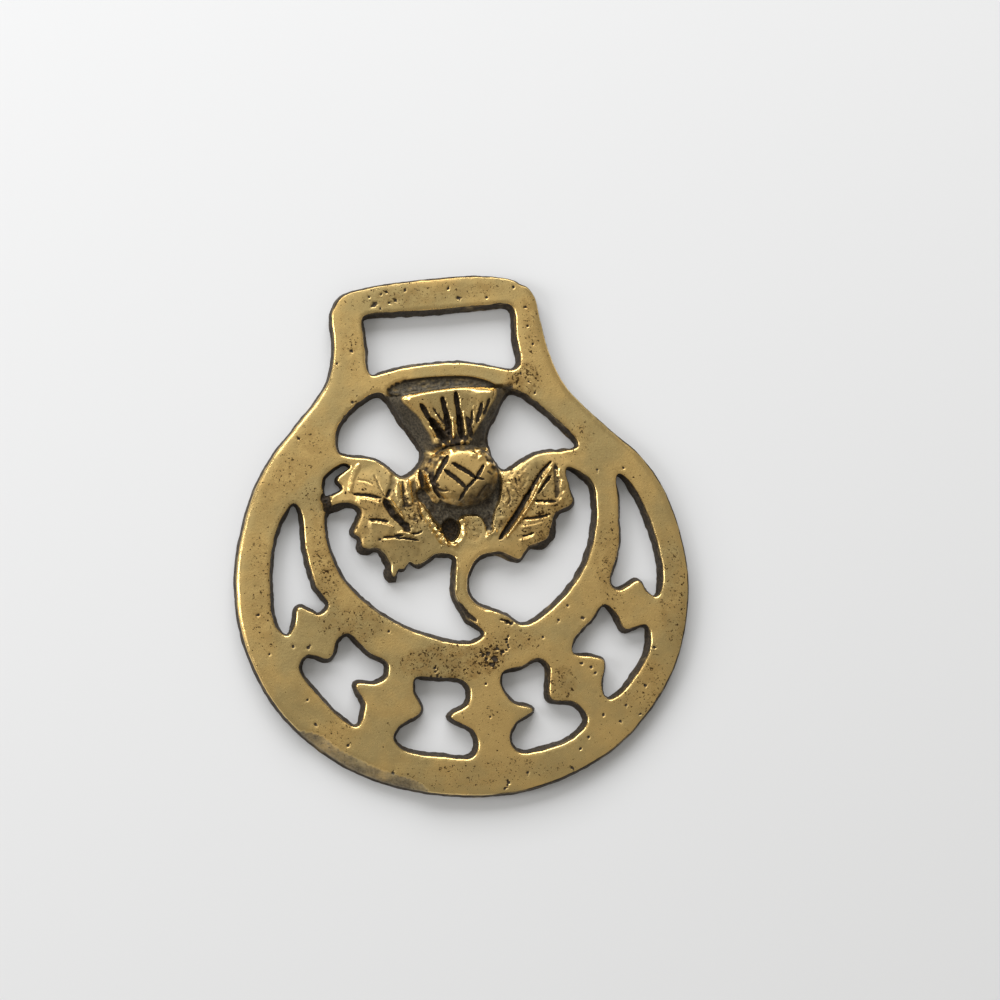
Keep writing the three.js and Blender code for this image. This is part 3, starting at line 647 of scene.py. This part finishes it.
# each pit: its place and size; a row of small ones is a crack
PITS = [
    (-10.9, 44.9, 0.4), (-9.6, 46.5, 0.25), (-8.4, 45, 0.22), (-7.2, 45.3, 0.22),
    (3.3, 44.9, 0.35), (-15.4, 37.4, 0.3), (-18, 35.5, 0.25), (14.6, 39.3, 0.25),
    (14.5, 42.5, 0.25), (15.2, 36.2, 0.22), (1.8, 46.6, 0.22), (8.1, 44.6, 0.22),
    (-13.5, -9.7, 0.25), (-27, -11.1, 0.3), (-29.5, -10.8, 0.25), (-33.5, -11.6, 0.25),
    (-34.7, -5, 0.25), (-27, -23.8, 0.28), (-28, -19.7, 0.25), (-22, -27.8, 0.25),
    (-15, -33, 0.3), (16.7, -8.1, 0.25), (19.1, -10.4, 0.3), (15, -10.4, 0.25),
    (20.3, -19.8, 0.3), (19.7, -18.8, 0.25), (18.2, -18, 0.25), (30.7, -16.4, 0.25),
    (28.5, -22.7, 0.28), (25, -25.6, 0.25), (21, -26.8, 0.25), (23.8, -28.2, 0.25),
    (27.3, -27.3, 0.25), (14.8, -35.1, 0.28), (7.3, -35.2, 0.25), (4, -36.5, 0.3),
    (3.3, -37.4, 0.25), (2, -25.4, 0.25), (1.8, -19.8, 0.25), (16.6, -32.1, 0.25),
    (18.1, -30.3, 0.25), (12.1, -13, 0.25), (6, -12.8, 0.25), (5, -14.8, 0.3),
    (-25.5, 23.5, 0.25), (24, 14.1, 0.25), (28.5, 14, 0.25), (2.6, -14.9, 0.4),
    (3.6, -15.8, 0.45), (3, -16.8, 0.35), (4.2, -14.2, 0.3), (17, 15, 0.3), (-17.5, 26.5, 0.32),
    (-16, 28.8, 0.28), (-15.4, 28.2, 0.3), (-13.6, 5.6, 0.25), (12.6, 31.4, 0.22),
    (13.8, 29.9, 0.22), (14.7, 27.9, 0.25), (6.3, -12.4, 0.2), (6.1, -12.8, 0.2),
    (5.9, -13.3, 0.22), (6.1, -13.8, 0.2), (6.2, -14.2, 0.22), (5.8, -14.6, 0.22),
    (5.3, -14.9, 0.22), (1.4, -14.6, 0.22), (1.8, -15.1, 0.24), (2.3, -15.8, 0.26),
    (2.8, -16.5, 0.24), (3.3, -17.1, 0.22), (2, -16.9, 0.2), (-6.5, -16.5, 0.22),
    (-6.4, -17.1, 0.24), (-6.2, -17.7, 0.22), (-7.3, -17.8, 0.2), (-5.6, -18.1, 0.2),
    (3.9, -36.1, 0.22), (3.8, -36.9, 0.24), (6.4, -9.9, 0.3), (7, -10.3, 0.28),
    (-8.6, 46.8, 0.24), (-11.6, 46.2, 0.22), (-5.5, 47, 0.24), (-9.9, 44.2, 0.2),
    (12.8, 46, 0.24),
]
# each rough area: the middle and half sizes of its oval, and how thickly it is pitted
PITTED_AREAS = [
    ((-5, -15.2), (10, 3.2), 0.8), ((-1, -17), (6, 2.2), 0.85), ((3, -15.8), (2.6, 3), 1.2),
    ((7, -13), (6, 2.4), 0.6), ((-23.5, -2), (3.2, 9), 0.65), ((-33.4, -2), (3, 12), 0.45),
    ((-18.5, -8), (5, 4), 0.7), ((24.5, -1), (3, 9), 0.55), ((34.5, -8), (3, 12), 0.6),
    ((27, -22), (7, 7), 0.5), ((13, 30.3), (3.4, 3.4), 0.8), ((14.5, -21), (3, 3.4), 0.75),
    ((20, 20), (5, 4), 0.5), ((-24, 24), (4, 4), 0.35), ((-28.5, 14.5), (6, 9), 0.42),
    ((0, -34.6), (20, 2.6), 0.5),
    ((-23.5, -25), (5, 4), 0.4), ((0, 46.3), (14, 2), 0.5), ((15.2, 40), (1.8, 7), 0.5),
    ((-15.8, 39), (2, 7), 0.4), ((9.8, 12.6), (3.4, 4.6), 0.6), ((6.6, 7.6), (1.6, 2.4), 0.8),
    ((-8.2, 10.4), (2.4, 5), 0.8), ((2.2, 6.2), (2, 2.8), 0.7), ((0.5, 25), (7, 5), 0.5),
    ((-23.2, 9), (2.2, 8), 0.5), ((-6, 46.2), (8, 2.4), 0.6),
    ((-12, 9), (9, 9), 0.45), ((13, 9), (8, 8), 0.6), ((1, 15), (6, 5), 0.15),
]
GROUND_EDGE = ((-20.5, -31.5), (13.5, 9.5))
GROUND_WIDTH = 2.1
GROUND_SLOPE = 0.42
GROUND_WAVE = 0.16
GROUND_DIRT, GROUND_DUST = 0.56, 0.85
OUTER_FALL = 0.09
EDGE_DIRT = 0.85
WALL_DIRT, WALL_WEAR = 0.84, 0.36
BACK_DIRT, BACK_WEAR = 0.4, 0.1
RUBBED_ROW, EDGE_LEAST = 0.75, 0.2
# where the walls lean out more, as skirts under the leaves: an oval, and how much more
SKIRTS = [
    ((-12, 1.5), (5, 4.2), 1.6), ((-17, 4), (2.2, 3.5), 0.8), ((14.5, 5), (3.6, 4), 1.1),
    ((20, 14.2), (2.4, 2.4), 1.0), ((-19.5, 12.5), (3, 2.4), 0.8),
]


def room_beside(loop, normal):
    """Radius of the largest circle that touches each corner on its empty side and holds no other
    corner: over the other corners, the least of distance squared over twice the forward part."""
    count = len(loop)
    across = loop[None, :, :] - loop[:, None, :]
    ahead = np.einsum("ijk,ik->ij", across, -normal)
    apart = np.sum(across ** 2, 2)
    gap = np.abs(np.arange(count)[:, None] - np.arange(count)[None, :])
    gap = np.minimum(gap, count - gap)
    radius = np.where((ahead > 0.02) & (gap > 2), apart / np.maximum(2 * ahead, 1e-6), 9.0)
    least = radius.min(1)
    return np.minimum(np.minimum(np.roll(least, 1), np.roll(least, -1)), least)


def edge_distance(x, y, loops):
    """Distance from each point to the nearest of the loops: the nearest corner is found first,
    then the shorter of the distances to the two stretches that meet there."""
    corner = np.vstack(loops)
    after = np.vstack([np.roll(loop, -1, 0) for loop in loops])
    before = np.vstack([np.roll(loop, 1, 0) for loop in loops])
    result = np.empty(len(x))
    for part in np.array_split(np.arange(len(x)), max(1, len(x) // 3000)):
        px, py = x[part], y[part]
        far = ((px[:, None] - corner[:, 0]) ** 2 + (py[:, None] - corner[:, 1]) ** 2)
        nearest = np.argmin(far, 1)
        best = np.full(len(part), 1e9)
        for other in (after, before):
            start, run = corner[nearest], other[nearest] - corner[nearest]
            best = np.minimum(best, to_stretch(px - start[:, 0], py - start[:, 1], run)[0])
        result[part] = best
    return result


def in_metal(x, y, loops):
    """True inside the first loop and outside all the others."""
    metal = np.zeros(len(x), bool)
    for part in np.array_split(np.arange(len(x)), max(1, len(x) // 4000)):
        metal[part] = inside(x[part], y[part], loops[0])
    for hole in loops[1:]:
        near = np.flatnonzero(in_box_round(x, y, hole))
        for part in np.array_split(near, max(1, len(near) // 8000)):
            metal[part[inside(x[part], y[part], hole)]] = False
    return metal


def hex_points(low, high, spacing):
    """Points in rows 0.866 of the spacing apart, each row a half step over from the last. They
    are nudged by up to 0.16 of the spacing, so that no row lines up with the light."""
    rows = np.arange(low[1], high[1], spacing * 0.866)
    columns = np.arange(low[0], high[0], spacing)
    x, y = np.meshgrid(columns, rows)
    x = x + (np.arange(len(rows)) % 2)[:, None] * spacing / 2
    x, y = x.ravel(), y.ravel()
    x = x + spacing * 0.16 * lattice_noise(x, y, spacing * 1.3, 21)
    return x, y + spacing * 0.16 * lattice_noise(x, y, spacing * 1.3, 22)


def thistle_zone(x, y):
    """True inside any of three ovals, over the flower, cup, leaves, stem and sunk band, where
    the relief is fine."""
    zone = oval(x, y, (0, 13), (22.5, 13.5), 0) > 0
    zone |= oval(x, y, (0.5, 26.5), (11.5, 7), 0) > 0
    zone |= oval(x, y, (1.5, -4), (6.5, 9), 0) > 0
    return zone


def face_height(x, y, edge, outer_edge):
    """Height, dirt with painted shade, and dust of the finished face: the relief, less the pits,
    which sink as the exponential of minus the squared distance, less the slope of the ground
    place, less the rounding of the edges, where a point nearer the edge than the radius lies on a
    quarter circle."""
    z, dirt_and_shade, dust = relief(x, y)
    for pit_x, pit_y, size in PITS:
        near = np.flatnonzero(np.abs(x - pit_x) + np.abs(y - pit_y) < 4 * size)
        far = (x[near] - pit_x) ** 2 + (y[near] - pit_y) ** 2
        far = far * (1.5 + 1.3 * lattice_noise(x[near], y[near], 0.34, 12))
        z[near] -= PIT_DEPTH * np.exp(-far / size ** 2)
        filled = np.clip(1.5 * np.exp(-far / (1.1 * size) ** 2), 0, 0.95)
        dirt_and_shade[near] = np.maximum(dirt_and_shade[near], filled)
    width = GROUND_WIDTH * patch(x, y, *GROUND_EDGE, steep=1.8) ** 0.5
    width = width + GROUND_WAVE * lattice_noise(x, y, 3.4, 16) * (width > 0.2)
    ground = np.clip(width - outer_edge, 0, None)
    z = z - GROUND_SLOPE * ground - OUTER_FALL * smooth_step(1.3, 0.2, outer_edge)
    skinned = smooth_step(0, 0.3, ground)
    dirt_and_shade = np.maximum(dirt_and_shade, (GROUND_DIRT + 0.07 * lattice_noise(x, y, 1.6, 31)) * skinned)
    soft = patch(x, y, (0, 9), (20, 11), steep=4)
    soft = np.maximum(soft, patch(x, y, (0.5, -3), (4, 8), steep=4))
    radius = EDGE_RADIUS + THISTLE_EXTRA_RADIUS * soft
    radius = radius + RING_EXTRA_RADIUS * (outer_edge < 1) * smooth_step(38, 30, y)
    depth = np.clip(radius - edge, 0, radius)
    rough_edge = 0.06 + 0.04 * lattice_noise(x, y, 0.8, 17)
    dirt_and_shade = np.maximum(dirt_and_shade, EDGE_DIRT * smooth_step(rough_edge, 0.2 * rough_edge, edge))
    dust = np.maximum(dust, GROUND_DUST * skinned)
    # painted shade: the outer edge is darkened down the right side and along the top of the
    # hanger, as a painted reflection of dark surroundings on the rounded edge
    painted_dark_rim = np.maximum(smooth_step(6, 24, x - 0.35 * y), 0.85 * smooth_step(42, 46, y))
    painted_dark_rim = painted_dark_rim * (0.8 + 0.3 * lattice_noise(x, y, 1.5, 32))
    dirt_and_shade = np.maximum(dirt_and_shade, painted_dark_rim * smooth_step(0.42, 0.16, outer_edge))
    return z - (radius - np.sqrt(radius ** 2 - depth ** 2)), dirt_and_shade, dust


def pitting_at(x, y):
    """How thickly the face is pitted, from 0 to 1: the greatest of a little patchy noise that is
    everywhere and the strength of each rough area's oval."""
    density = 0.07 + 0.3 * np.clip(lattice_noise(x, y, 4.5, 15) - 0.2, 0, 1)
    density = density + 0.25 * np.clip(lattice_noise(x, y, 1.8, 24) - 0.35, 0, 1)
    for middle, half, strength in PITTED_AREAS:
        density = np.maximum(density, strength * patch(x, y, middle, half, steep=1.8) ** 0.7)
    return np.clip(density, 0, 1)


# the face: the edges, the rows just inside them, and points over the rest
loops = face_loops
starts = np.r_[0, np.cumsum([len(loop) for loop in loops])]
rim = np.vstack(loops)
rows = np.vstack([loop + metal_side(loop) * inset for loop in loops for inset in INSET_ROWS])
wanted = np.concatenate([np.full(len(loop), inset) for loop in loops for inset in INSET_ROWS])
kept = edge_distance(rows[:, 0], rows[:, 1], loops) > wanted * 0.85
rows = rows[kept]

low, high = outer_loop.min(0), outer_loop.max(0)
ring_x, ring_y = hex_points(low, high, SPACING["ring"])
fine_x, fine_y = hex_points((-23, -14), (23, 34), SPACING["thistle"])
pit_grid = [hex_points((px - 2.2 * s, py - 2.2 * s), (px + 2.2 * s, py + 2.2 * s), SPACING["pit"])
            for px, py, s in PITS if not thistle_zone(np.array([px]), np.array([py]))[0]]
pit_x = np.concatenate([grid[0] for grid in pit_grid])
pit_y = np.concatenate([grid[1] for grid in pit_grid])
pit_far = np.full(len(ring_x), 9.0)
for px, py, s in PITS:
    pit_far = np.minimum(pit_far, np.maximum(np.abs(ring_x - px), np.abs(ring_y - py)) - 2.3 * s)
coarse = ~thistle_zone(ring_x, ring_y) & (pit_far > 0)
fine = thistle_zone(fine_x, fine_y)
pitted = ~thistle_zone(pit_x, pit_y)
over_x = np.r_[ring_x[coarse], fine_x[fine], pit_x[pitted]]
over_y = np.r_[ring_y[coarse], fine_y[fine], pit_y[pitted]]
gap = np.concatenate([np.full(chosen.sum(), EDGE_GAP[name]) for name, chosen
                      in (("ring", coarse), ("thistle", fine), ("pit", pitted))])
free = edge_distance(over_x, over_y, loops) > gap
over_x, over_y = over_x[free], over_y[free]
metal = in_metal(over_x, over_y, loops)
face_xy = np.vstack([rim, rows, np.stack([over_x[metal], over_y[metal]], -1)])
edge = edge_distance(face_xy[:, 0], face_xy[:, 1], loops)
edge[:len(rim)] = 0
outer_edge = edge_distance(face_xy[:, 0], face_xy[:, 1], loops[:1])
face_z, face_dirt_and_shade, face_dust = face_height(face_xy[:, 0], face_xy[:, 1], edge, outer_edge)


def ring_edges(loops):
    """Pairs of neighbouring corner numbers round each loop, the last joined to the first."""
    pairs, first = [], 0
    for loop in loops:
        number = np.arange(len(loop))
        pairs.append(np.stack([number, np.roll(number, -1)], -1) + first)
        first += len(loop)
    return np.vstack(pairs)


def triangles_over(points, loops):
    """Constrained Delaunay triangles over the points, with the loops first among them as fixed
    edges; a triangle is kept if its middle lies in the metal."""
    _, _, faces, _, _, _ = delaunay_2d_cdt(
        points.tolist(), ring_edges(loops).tolist(), [], 2, 1e-7, False)
    faces = np.array(faces)
    if faces.max() >= len(points):
        raise SystemExit("horse_brass: two outlines cross")
    middle = points[faces].mean(1)
    return faces[in_metal(middle[:, 0], middle[:, 1], loops)]


face_triangles = triangles_over(face_xy, loops)

# the walls: each row of every loop lies a share of the way down, leaning out of the metal
upper = face_z[:len(rim)]
lean = [np.full(len(loops[0]), OUTER_LEAN)]
for loop in loops[1:]:
    wide = np.full(len(loop), HOLE_LEAN)
    for middle, half, more in SKIRTS:
        wide += HOLE_LEAN * more * patch(loop[:, 0], loop[:, 1], middle, half)
    room = np.minimum(wide, LEAN_OF_ROOM * room_beside(loop, metal_side(loop)))
    for _ in range(6):
        room = np.minimum(room, (np.roll(room, 1) + 2 * room + np.roll(room, -1)) / 4)
    lean.append(room)
lean = np.concatenate(lean)
normal = np.vstack([metal_side(loop) for loop in loops])
wall_xy, wall_z = [], []
for share in WALL_ROWS + (1.0,):
    rough = waves(rim[:, 0], rim[:, 1] + 5 * share, WALL_WAVES)
    out = np.minimum(share * 1.15, 1.0) - 0.2 * (share == 1.0) + rough * min(share * 1.6, 1.0)
    wall_xy.append(rim - normal * (lean * out)[:, None])
    wall_z.append(upper * (1 - share))
back_rim = wall_xy[-1]
back_loops = [back_rim[a:b] for a, b in zip(starts[:-1], starts[1:])]

# the back
back_x, back_y = hex_points(low, high, SPACING["back"])
free = in_metal(back_x, back_y, back_loops)
free[free] = edge_distance(back_x[free], back_y[free], back_loops) > EDGE_GAP["back"]
back_xy = np.vstack([back_rim, np.stack([back_x[free], back_y[free]], -1)])
back_triangles = triangles_over(back_xy, back_loops)[:, ::-1]

# all the skin's points and faces
points = [np.column_stack([face_xy, face_z])]
points += [np.column_stack([xy, z]) for xy, z in zip(wall_xy[:-1], wall_z[:-1])]
points += [np.column_stack([back_xy, np.zeros(len(back_xy))])]
points = np.vstack(points)
row_starts = [0] + [len(face_xy) + k * len(rim) for k in range(len(WALL_ROWS) + 1)]
around = ring_edges(loops)
quads = np.vstack([np.column_stack([around[:, 0] + a, around[:, 0] + b,
                                    around[:, 1] + b, around[:, 1] + a])
                   for a, b in zip(row_starts[:-1], row_starts[1:])])
triangles = np.vstack([face_triangles, back_triangles + row_starts[-1]])

rest = points[len(face_xy):]
worn = 0.5 * lattice_noise(rest[:, 0] + rest[:, 2], rest[:, 1] - rest[:, 2], 3.1, 25)
worn = worn + 0.5 * lattice_noise(rest[:, 0] - rest[:, 2], rest[:, 1] + rest[:, 2], 0.9, 30)
wall_dirt = np.where(rest[:, 2] > 0, WALL_DIRT + WALL_WEAR * worn, BACK_DIRT + BACK_WEAR * worn)
dirt_and_shade = np.concatenate([face_dirt_and_shade, wall_dirt])
# the walls' first row is rubbed brighter, and the edge itself is never quite clean
dirt_and_shade[len(face_xy):len(face_xy) + len(rim)] *= RUBBED_ROW
dirt_and_shade[:len(rim)] = np.maximum(dirt_and_shade[:len(rim)], EDGE_LEAST)
dust = np.concatenate([face_dust, 0.08 + 0.1 * worn])
pitting = pitting_at(points[:, 0], points[:, 1])
points[:, :2] += PATTERN_MIDDLE
points *= MM

skin = bpy.data.meshes.new("horse_brass_casting")
corners = np.concatenate([triangles.ravel(), quads.ravel()])
sizes = np.concatenate([np.full(len(triangles), 3), np.full(len(quads), 4)])
skin.vertices.add(len(points))
skin.vertices.foreach_set("co", points.ravel())
skin.loops.add(len(corners))
skin.loops.foreach_set("vertex_index", corners)
skin.polygons.add(len(sizes))
skin.polygons.foreach_set("loop_start", np.r_[0, np.cumsum(sizes)[:-1]])
skin.polygons.foreach_set("loop_total", sizes)
skin.update(calc_edges=True)
skin.validate()
skin.polygons.foreach_set("use_smooth", np.ones(len(sizes), bool))
for name, values in (("patina_and_shade", dirt_and_shade), ("pitting", pitting), ("dust", dust)):
    skin.attributes.new(name, "FLOAT", "POINT").data.foreach_set("value", values)
casting = bpy.data.objects.new("horse_brass_casting", skin)
bpy.context.collection.objects.link(casting)

PALE_BRASS, RED_BRASS = (0.69, 0.515, 0.225), (0.88, 0.605, 0.235)
BROWN_BRASS, STAINED_BRASS = (0.52, 0.35, 0.13), (0.36, 0.22, 0.075)
BLACK_DIRT_AND_SHADE, BROWN_DIRT_AND_SHADE = (0.014, 0.009, 0.005), (0.068, 0.044, 0.021)
DARK_SAND, GREY_SAND = (0.045, 0.038, 0.026), (0.185, 0.157, 0.108)
PIT_BROWN = (0.075, 0.042, 0.015)
brass = bpy.data.materials.new("polished_cast_brass")
brass.use_nodes = True
nodes, links = brass.node_tree.nodes, brass.node_tree.links
surface = nodes["Principled BSDF"]
surface.inputs["Specular IOR Level"].default_value = 0.5
place = nodes.new("ShaderNodeTexCoord")


def noise(scale, detail, roughness):
    """Noise on Object coordinates, with about this many waves in a metre."""
    node = nodes.new("ShaderNodeTexNoise")
    node.inputs["Scale"].default_value = scale
    node.inputs["Detail"].default_value = detail
    node.inputs["Roughness"].default_value = roughness
    links.new(place.outputs["Object"], node.inputs["Vector"])
    return node.outputs["Fac"]


def ramp(value, low, high, start=0.0, end=1.0):
    """The value carried from the range low to high into start to end, by 3t^2 - 2t^3."""
    node = nodes.new("ShaderNodeMapRange")
    node.interpolation_type = "SMOOTHSTEP"
    for name, amount in zip(("From Min", "From Max", "To Min", "To Max"), (low, high, start, end)):
        node.inputs[name].default_value = amount
    links.new(value, node.inputs["Value"])
    return node.outputs["Result"]


def maths(operation, first, second):
    """One sum on two values, held between 0 and 1."""
    node = nodes.new("ShaderNodeMath")
    node.operation = operation
    node.use_clamp = True
    for socket, value in zip(node.inputs, (first, second)):
        if isinstance(value, (int, float)):
            socket.default_value = value
        else:
            links.new(value, socket)
    return node.outputs["Value"]


def blend_colour(share, first, second):
    """The first colour times one minus the share, plus the second times the share."""
    node = nodes.new("ShaderNodeMix")
    node.data_type = "RGBA"
    links.new(share, node.inputs["Factor"])
    for name, value in (("A", first), ("B", second)):
        socket = next(s for s in node.inputs if s.name == name and s.type == "RGBA")
        if isinstance(value, tuple):
            socket.default_value = (*value, 1)
        else:
            links.new(value, socket)
    return next(s for s in node.outputs if s.type == "RGBA")


def attribute(name):
    """A value worked out with the skin and kept on its points."""
    node = nodes.new("ShaderNodeAttribute")
    node.attribute_name = name
    return node.outputs["Fac"]


def specks(field, thickness, low, high):
    """Ragged pits: the ramp from low to high of the noise plus 0.13 times the thickness."""
    return ramp(maths("ADD", field, maths("MULTIPLY", thickness, 0.13)), low, high)


cloud = noise(110, 3, 0.55)
mottle = noise(620, 4, 0.65)
speck = noise(2800, 3, 0.6)
thick = maths("ADD", attribute("pitting"), ramp(cloud, 0.45, 0.75, 0.0, 0.25))
pit_share = maths("MAXIMUM", specks(noise(1500, 3, 0.65), thick, 0.685, 0.74),
                  specks(noise(2900, 2, 0.6), thick, 0.69, 0.755))
stain = maths("MULTIPLY", ramp(thick, 0.15, 1.0), ramp(mottle, 0.36, 0.62))
grime_and_shade = maths("ADD", attribute("patina_and_shade"), maths("MULTIPLY", pit_share, 0.85))
grime_and_shade = maths("SUBTRACT", maths("ADD", grime_and_shade, maths("MULTIPLY", mottle, 0.34)), 0.17)

polished = blend_colour(ramp(cloud, 0.38, 0.62), PALE_BRASS, RED_BRASS)
polished = blend_colour(ramp(mottle, 0.48, 0.78, 0.0, 0.4), polished, BROWN_BRASS)
polished = blend_colour(maths("MULTIPLY", stain, 0.75), polished, STAINED_BRASS)
# the dark tarnish colour darkens both real dirt and the painted shade kept with the patina
tarnish_and_shade = blend_colour(ramp(speck, 0.35, 0.72), BLACK_DIRT_AND_SHADE, BROWN_DIRT_AND_SHADE)
dusty = blend_colour(ramp(speck, 0.3, 0.7), DARK_SAND, GREY_SAND)
tarnish_and_shade = blend_colour(attribute("dust"), tarnish_and_shade, dusty)
tarnish_and_shade = blend_colour(maths("MULTIPLY", pit_share, ramp(attribute("patina_and_shade"), 0.5, 0.2)),
                       tarnish_and_shade, PIT_BROWN)
links.new(blend_colour(ramp(grime_and_shade, 0.12, 0.75), polished, tarnish_and_shade), surface.inputs["Base Color"])
dull = maths("MAXIMUM", maths("MULTIPLY", attribute("patina_and_shade"), 0.75), attribute("dust"))
links.new(ramp(dull, 0.2, 0.85, 1.0, 0.1), surface.inputs["Metallic"])
shine = maths("ADD", ramp(mottle, 0.3, 0.7, 0.19, 0.29), maths("MULTIPLY", grime_and_shade, 0.55))
links.new(maths("ADD", shine, maths("MULTIPLY", stain, 0.12)), surface.inputs["Roughness"])

dents = nodes.new("ShaderNodeBump")
dents.invert = True
dents.inputs["Strength"].default_value = 0.18
dents.inputs["Distance"].default_value = 0.00012
links.new(pit_share, dents.inputs["Height"])
grain_bump = nodes.new("ShaderNodeBump")
grain_bump.inputs["Strength"].default_value = 0.3
grain_bump.inputs["Distance"].default_value = 0.00007
links.new(maths("ADD", speck, maths("MULTIPLY", mottle, 0.6)), grain_bump.inputs["Height"])
links.new(dents.outputs["Normal"], grain_bump.inputs["Normal"])
links.new(grain_bump.outputs["Normal"], surface.inputs["Normal"])
skin.materials.append(brass)

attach(casting, "root")
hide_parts("horse_brass")

# ---------------------------------------------------------------------------------------------
# The floor, the light and the camera. A plain pale floor, a wide soft light overhead, a long
# soft light low at the strap end that catches the edges, and a weak one from the left.
# ---------------------------------------------------------------------------------------------
FLOOR_HALF = 3.0
FLOOR_GAP = 2e-5
floor_mesh = bpy.data.meshes.new("pale_floor")
floor_mesh.from_pydata([(x * FLOOR_HALF, y * FLOOR_HALF, -FLOOR_GAP)
                        for x, y in ((-1, -1), (1, -1), (1, 1), (-1, 1))], [], [(0, 1, 2, 3)])
floor = bpy.data.objects.new("pale_floor", floor_mesh)
bpy.context.collection.objects.link(floor)
paper = bpy.data.materials.new("pale_floor")
paper.use_nodes = True
paper_surface = paper.node_tree.nodes["Principled BSDF"]
paper_surface.inputs["Base Color"].default_value = (0.77, 0.78, 0.80, 1)
paper_surface.inputs["Roughness"].default_value = 0.9
floor_mesh.materials.append(paper)


def soft_light(name, at, size, power, colour=(1, 1, 1)):
    """A rectangular lamp of this width and height that faces the brass."""
    lamp = bpy.data.lights.new(name, "AREA")
    lamp.shape = "RECTANGLE"
    lamp.size, lamp.size_y = size
    lamp.energy = power
    lamp.color = colour
    holder = bpy.data.objects.new(name, lamp)
    holder.location = at
    holder.rotation_euler = (-Vector(at)).to_track_quat("-Z", "Y").to_euler()
    bpy.context.collection.objects.link(holder)


soft_light("overhead_light", (-0.12, 0.36, 1.0), (0.8, 0.7), 0.5, (0.96, 1, 1))
soft_light("strap_end_light", (-0.1, 0.8, 0.5), (1.1, 0.55), 10.4)
soft_light("left_light", (-0.8, 0.1, 0.5), (0.3, 0.6), 3.0)

world = bpy.data.worlds.new("studio")
bpy.context.scene.world = world
world.use_nodes = True
world.node_tree.nodes["Background"].inputs["Color"].default_value = (1, 0.965, 0.89, 1)
world.node_tree.nodes["Background"].inputs["Strength"].default_value = 0.36
bpy.context.scene.view_settings.view_transform = "Standard"

# the camera: its place and aim in millimetres, and how far the frame is turned
CAMERA_AT = (-53.843, -24.547, 466.213)
CAMERA_AIM = (7.201, 5.308, 3.0)
FRAME_TURN = 5.5
lens = bpy.data.cameras.new("camera")
lens.lens = 100.8
lens.sensor_width = 36
lens.clip_start = 0.01
camera = bpy.data.objects.new("camera", lens)
camera.location = Vector(CAMERA_AT) * MM
aim = Vector(CAMERA_AIM) * MM
tilt = np.radians(FRAME_TURN)
back_axis = (camera.location - aim).normalized()
right_axis = Vector((np.sin(tilt), np.cos(tilt), 0)).cross(back_axis).normalized()
up_axis = back_axis.cross(right_axis)
camera.rotation_euler = Matrix((right_axis, up_axis, back_axis)).transposed().to_euler()
bpy.context.collection.objects.link(camera)
bpy.context.scene.camera = camera

bpy.context.view_layer.update()
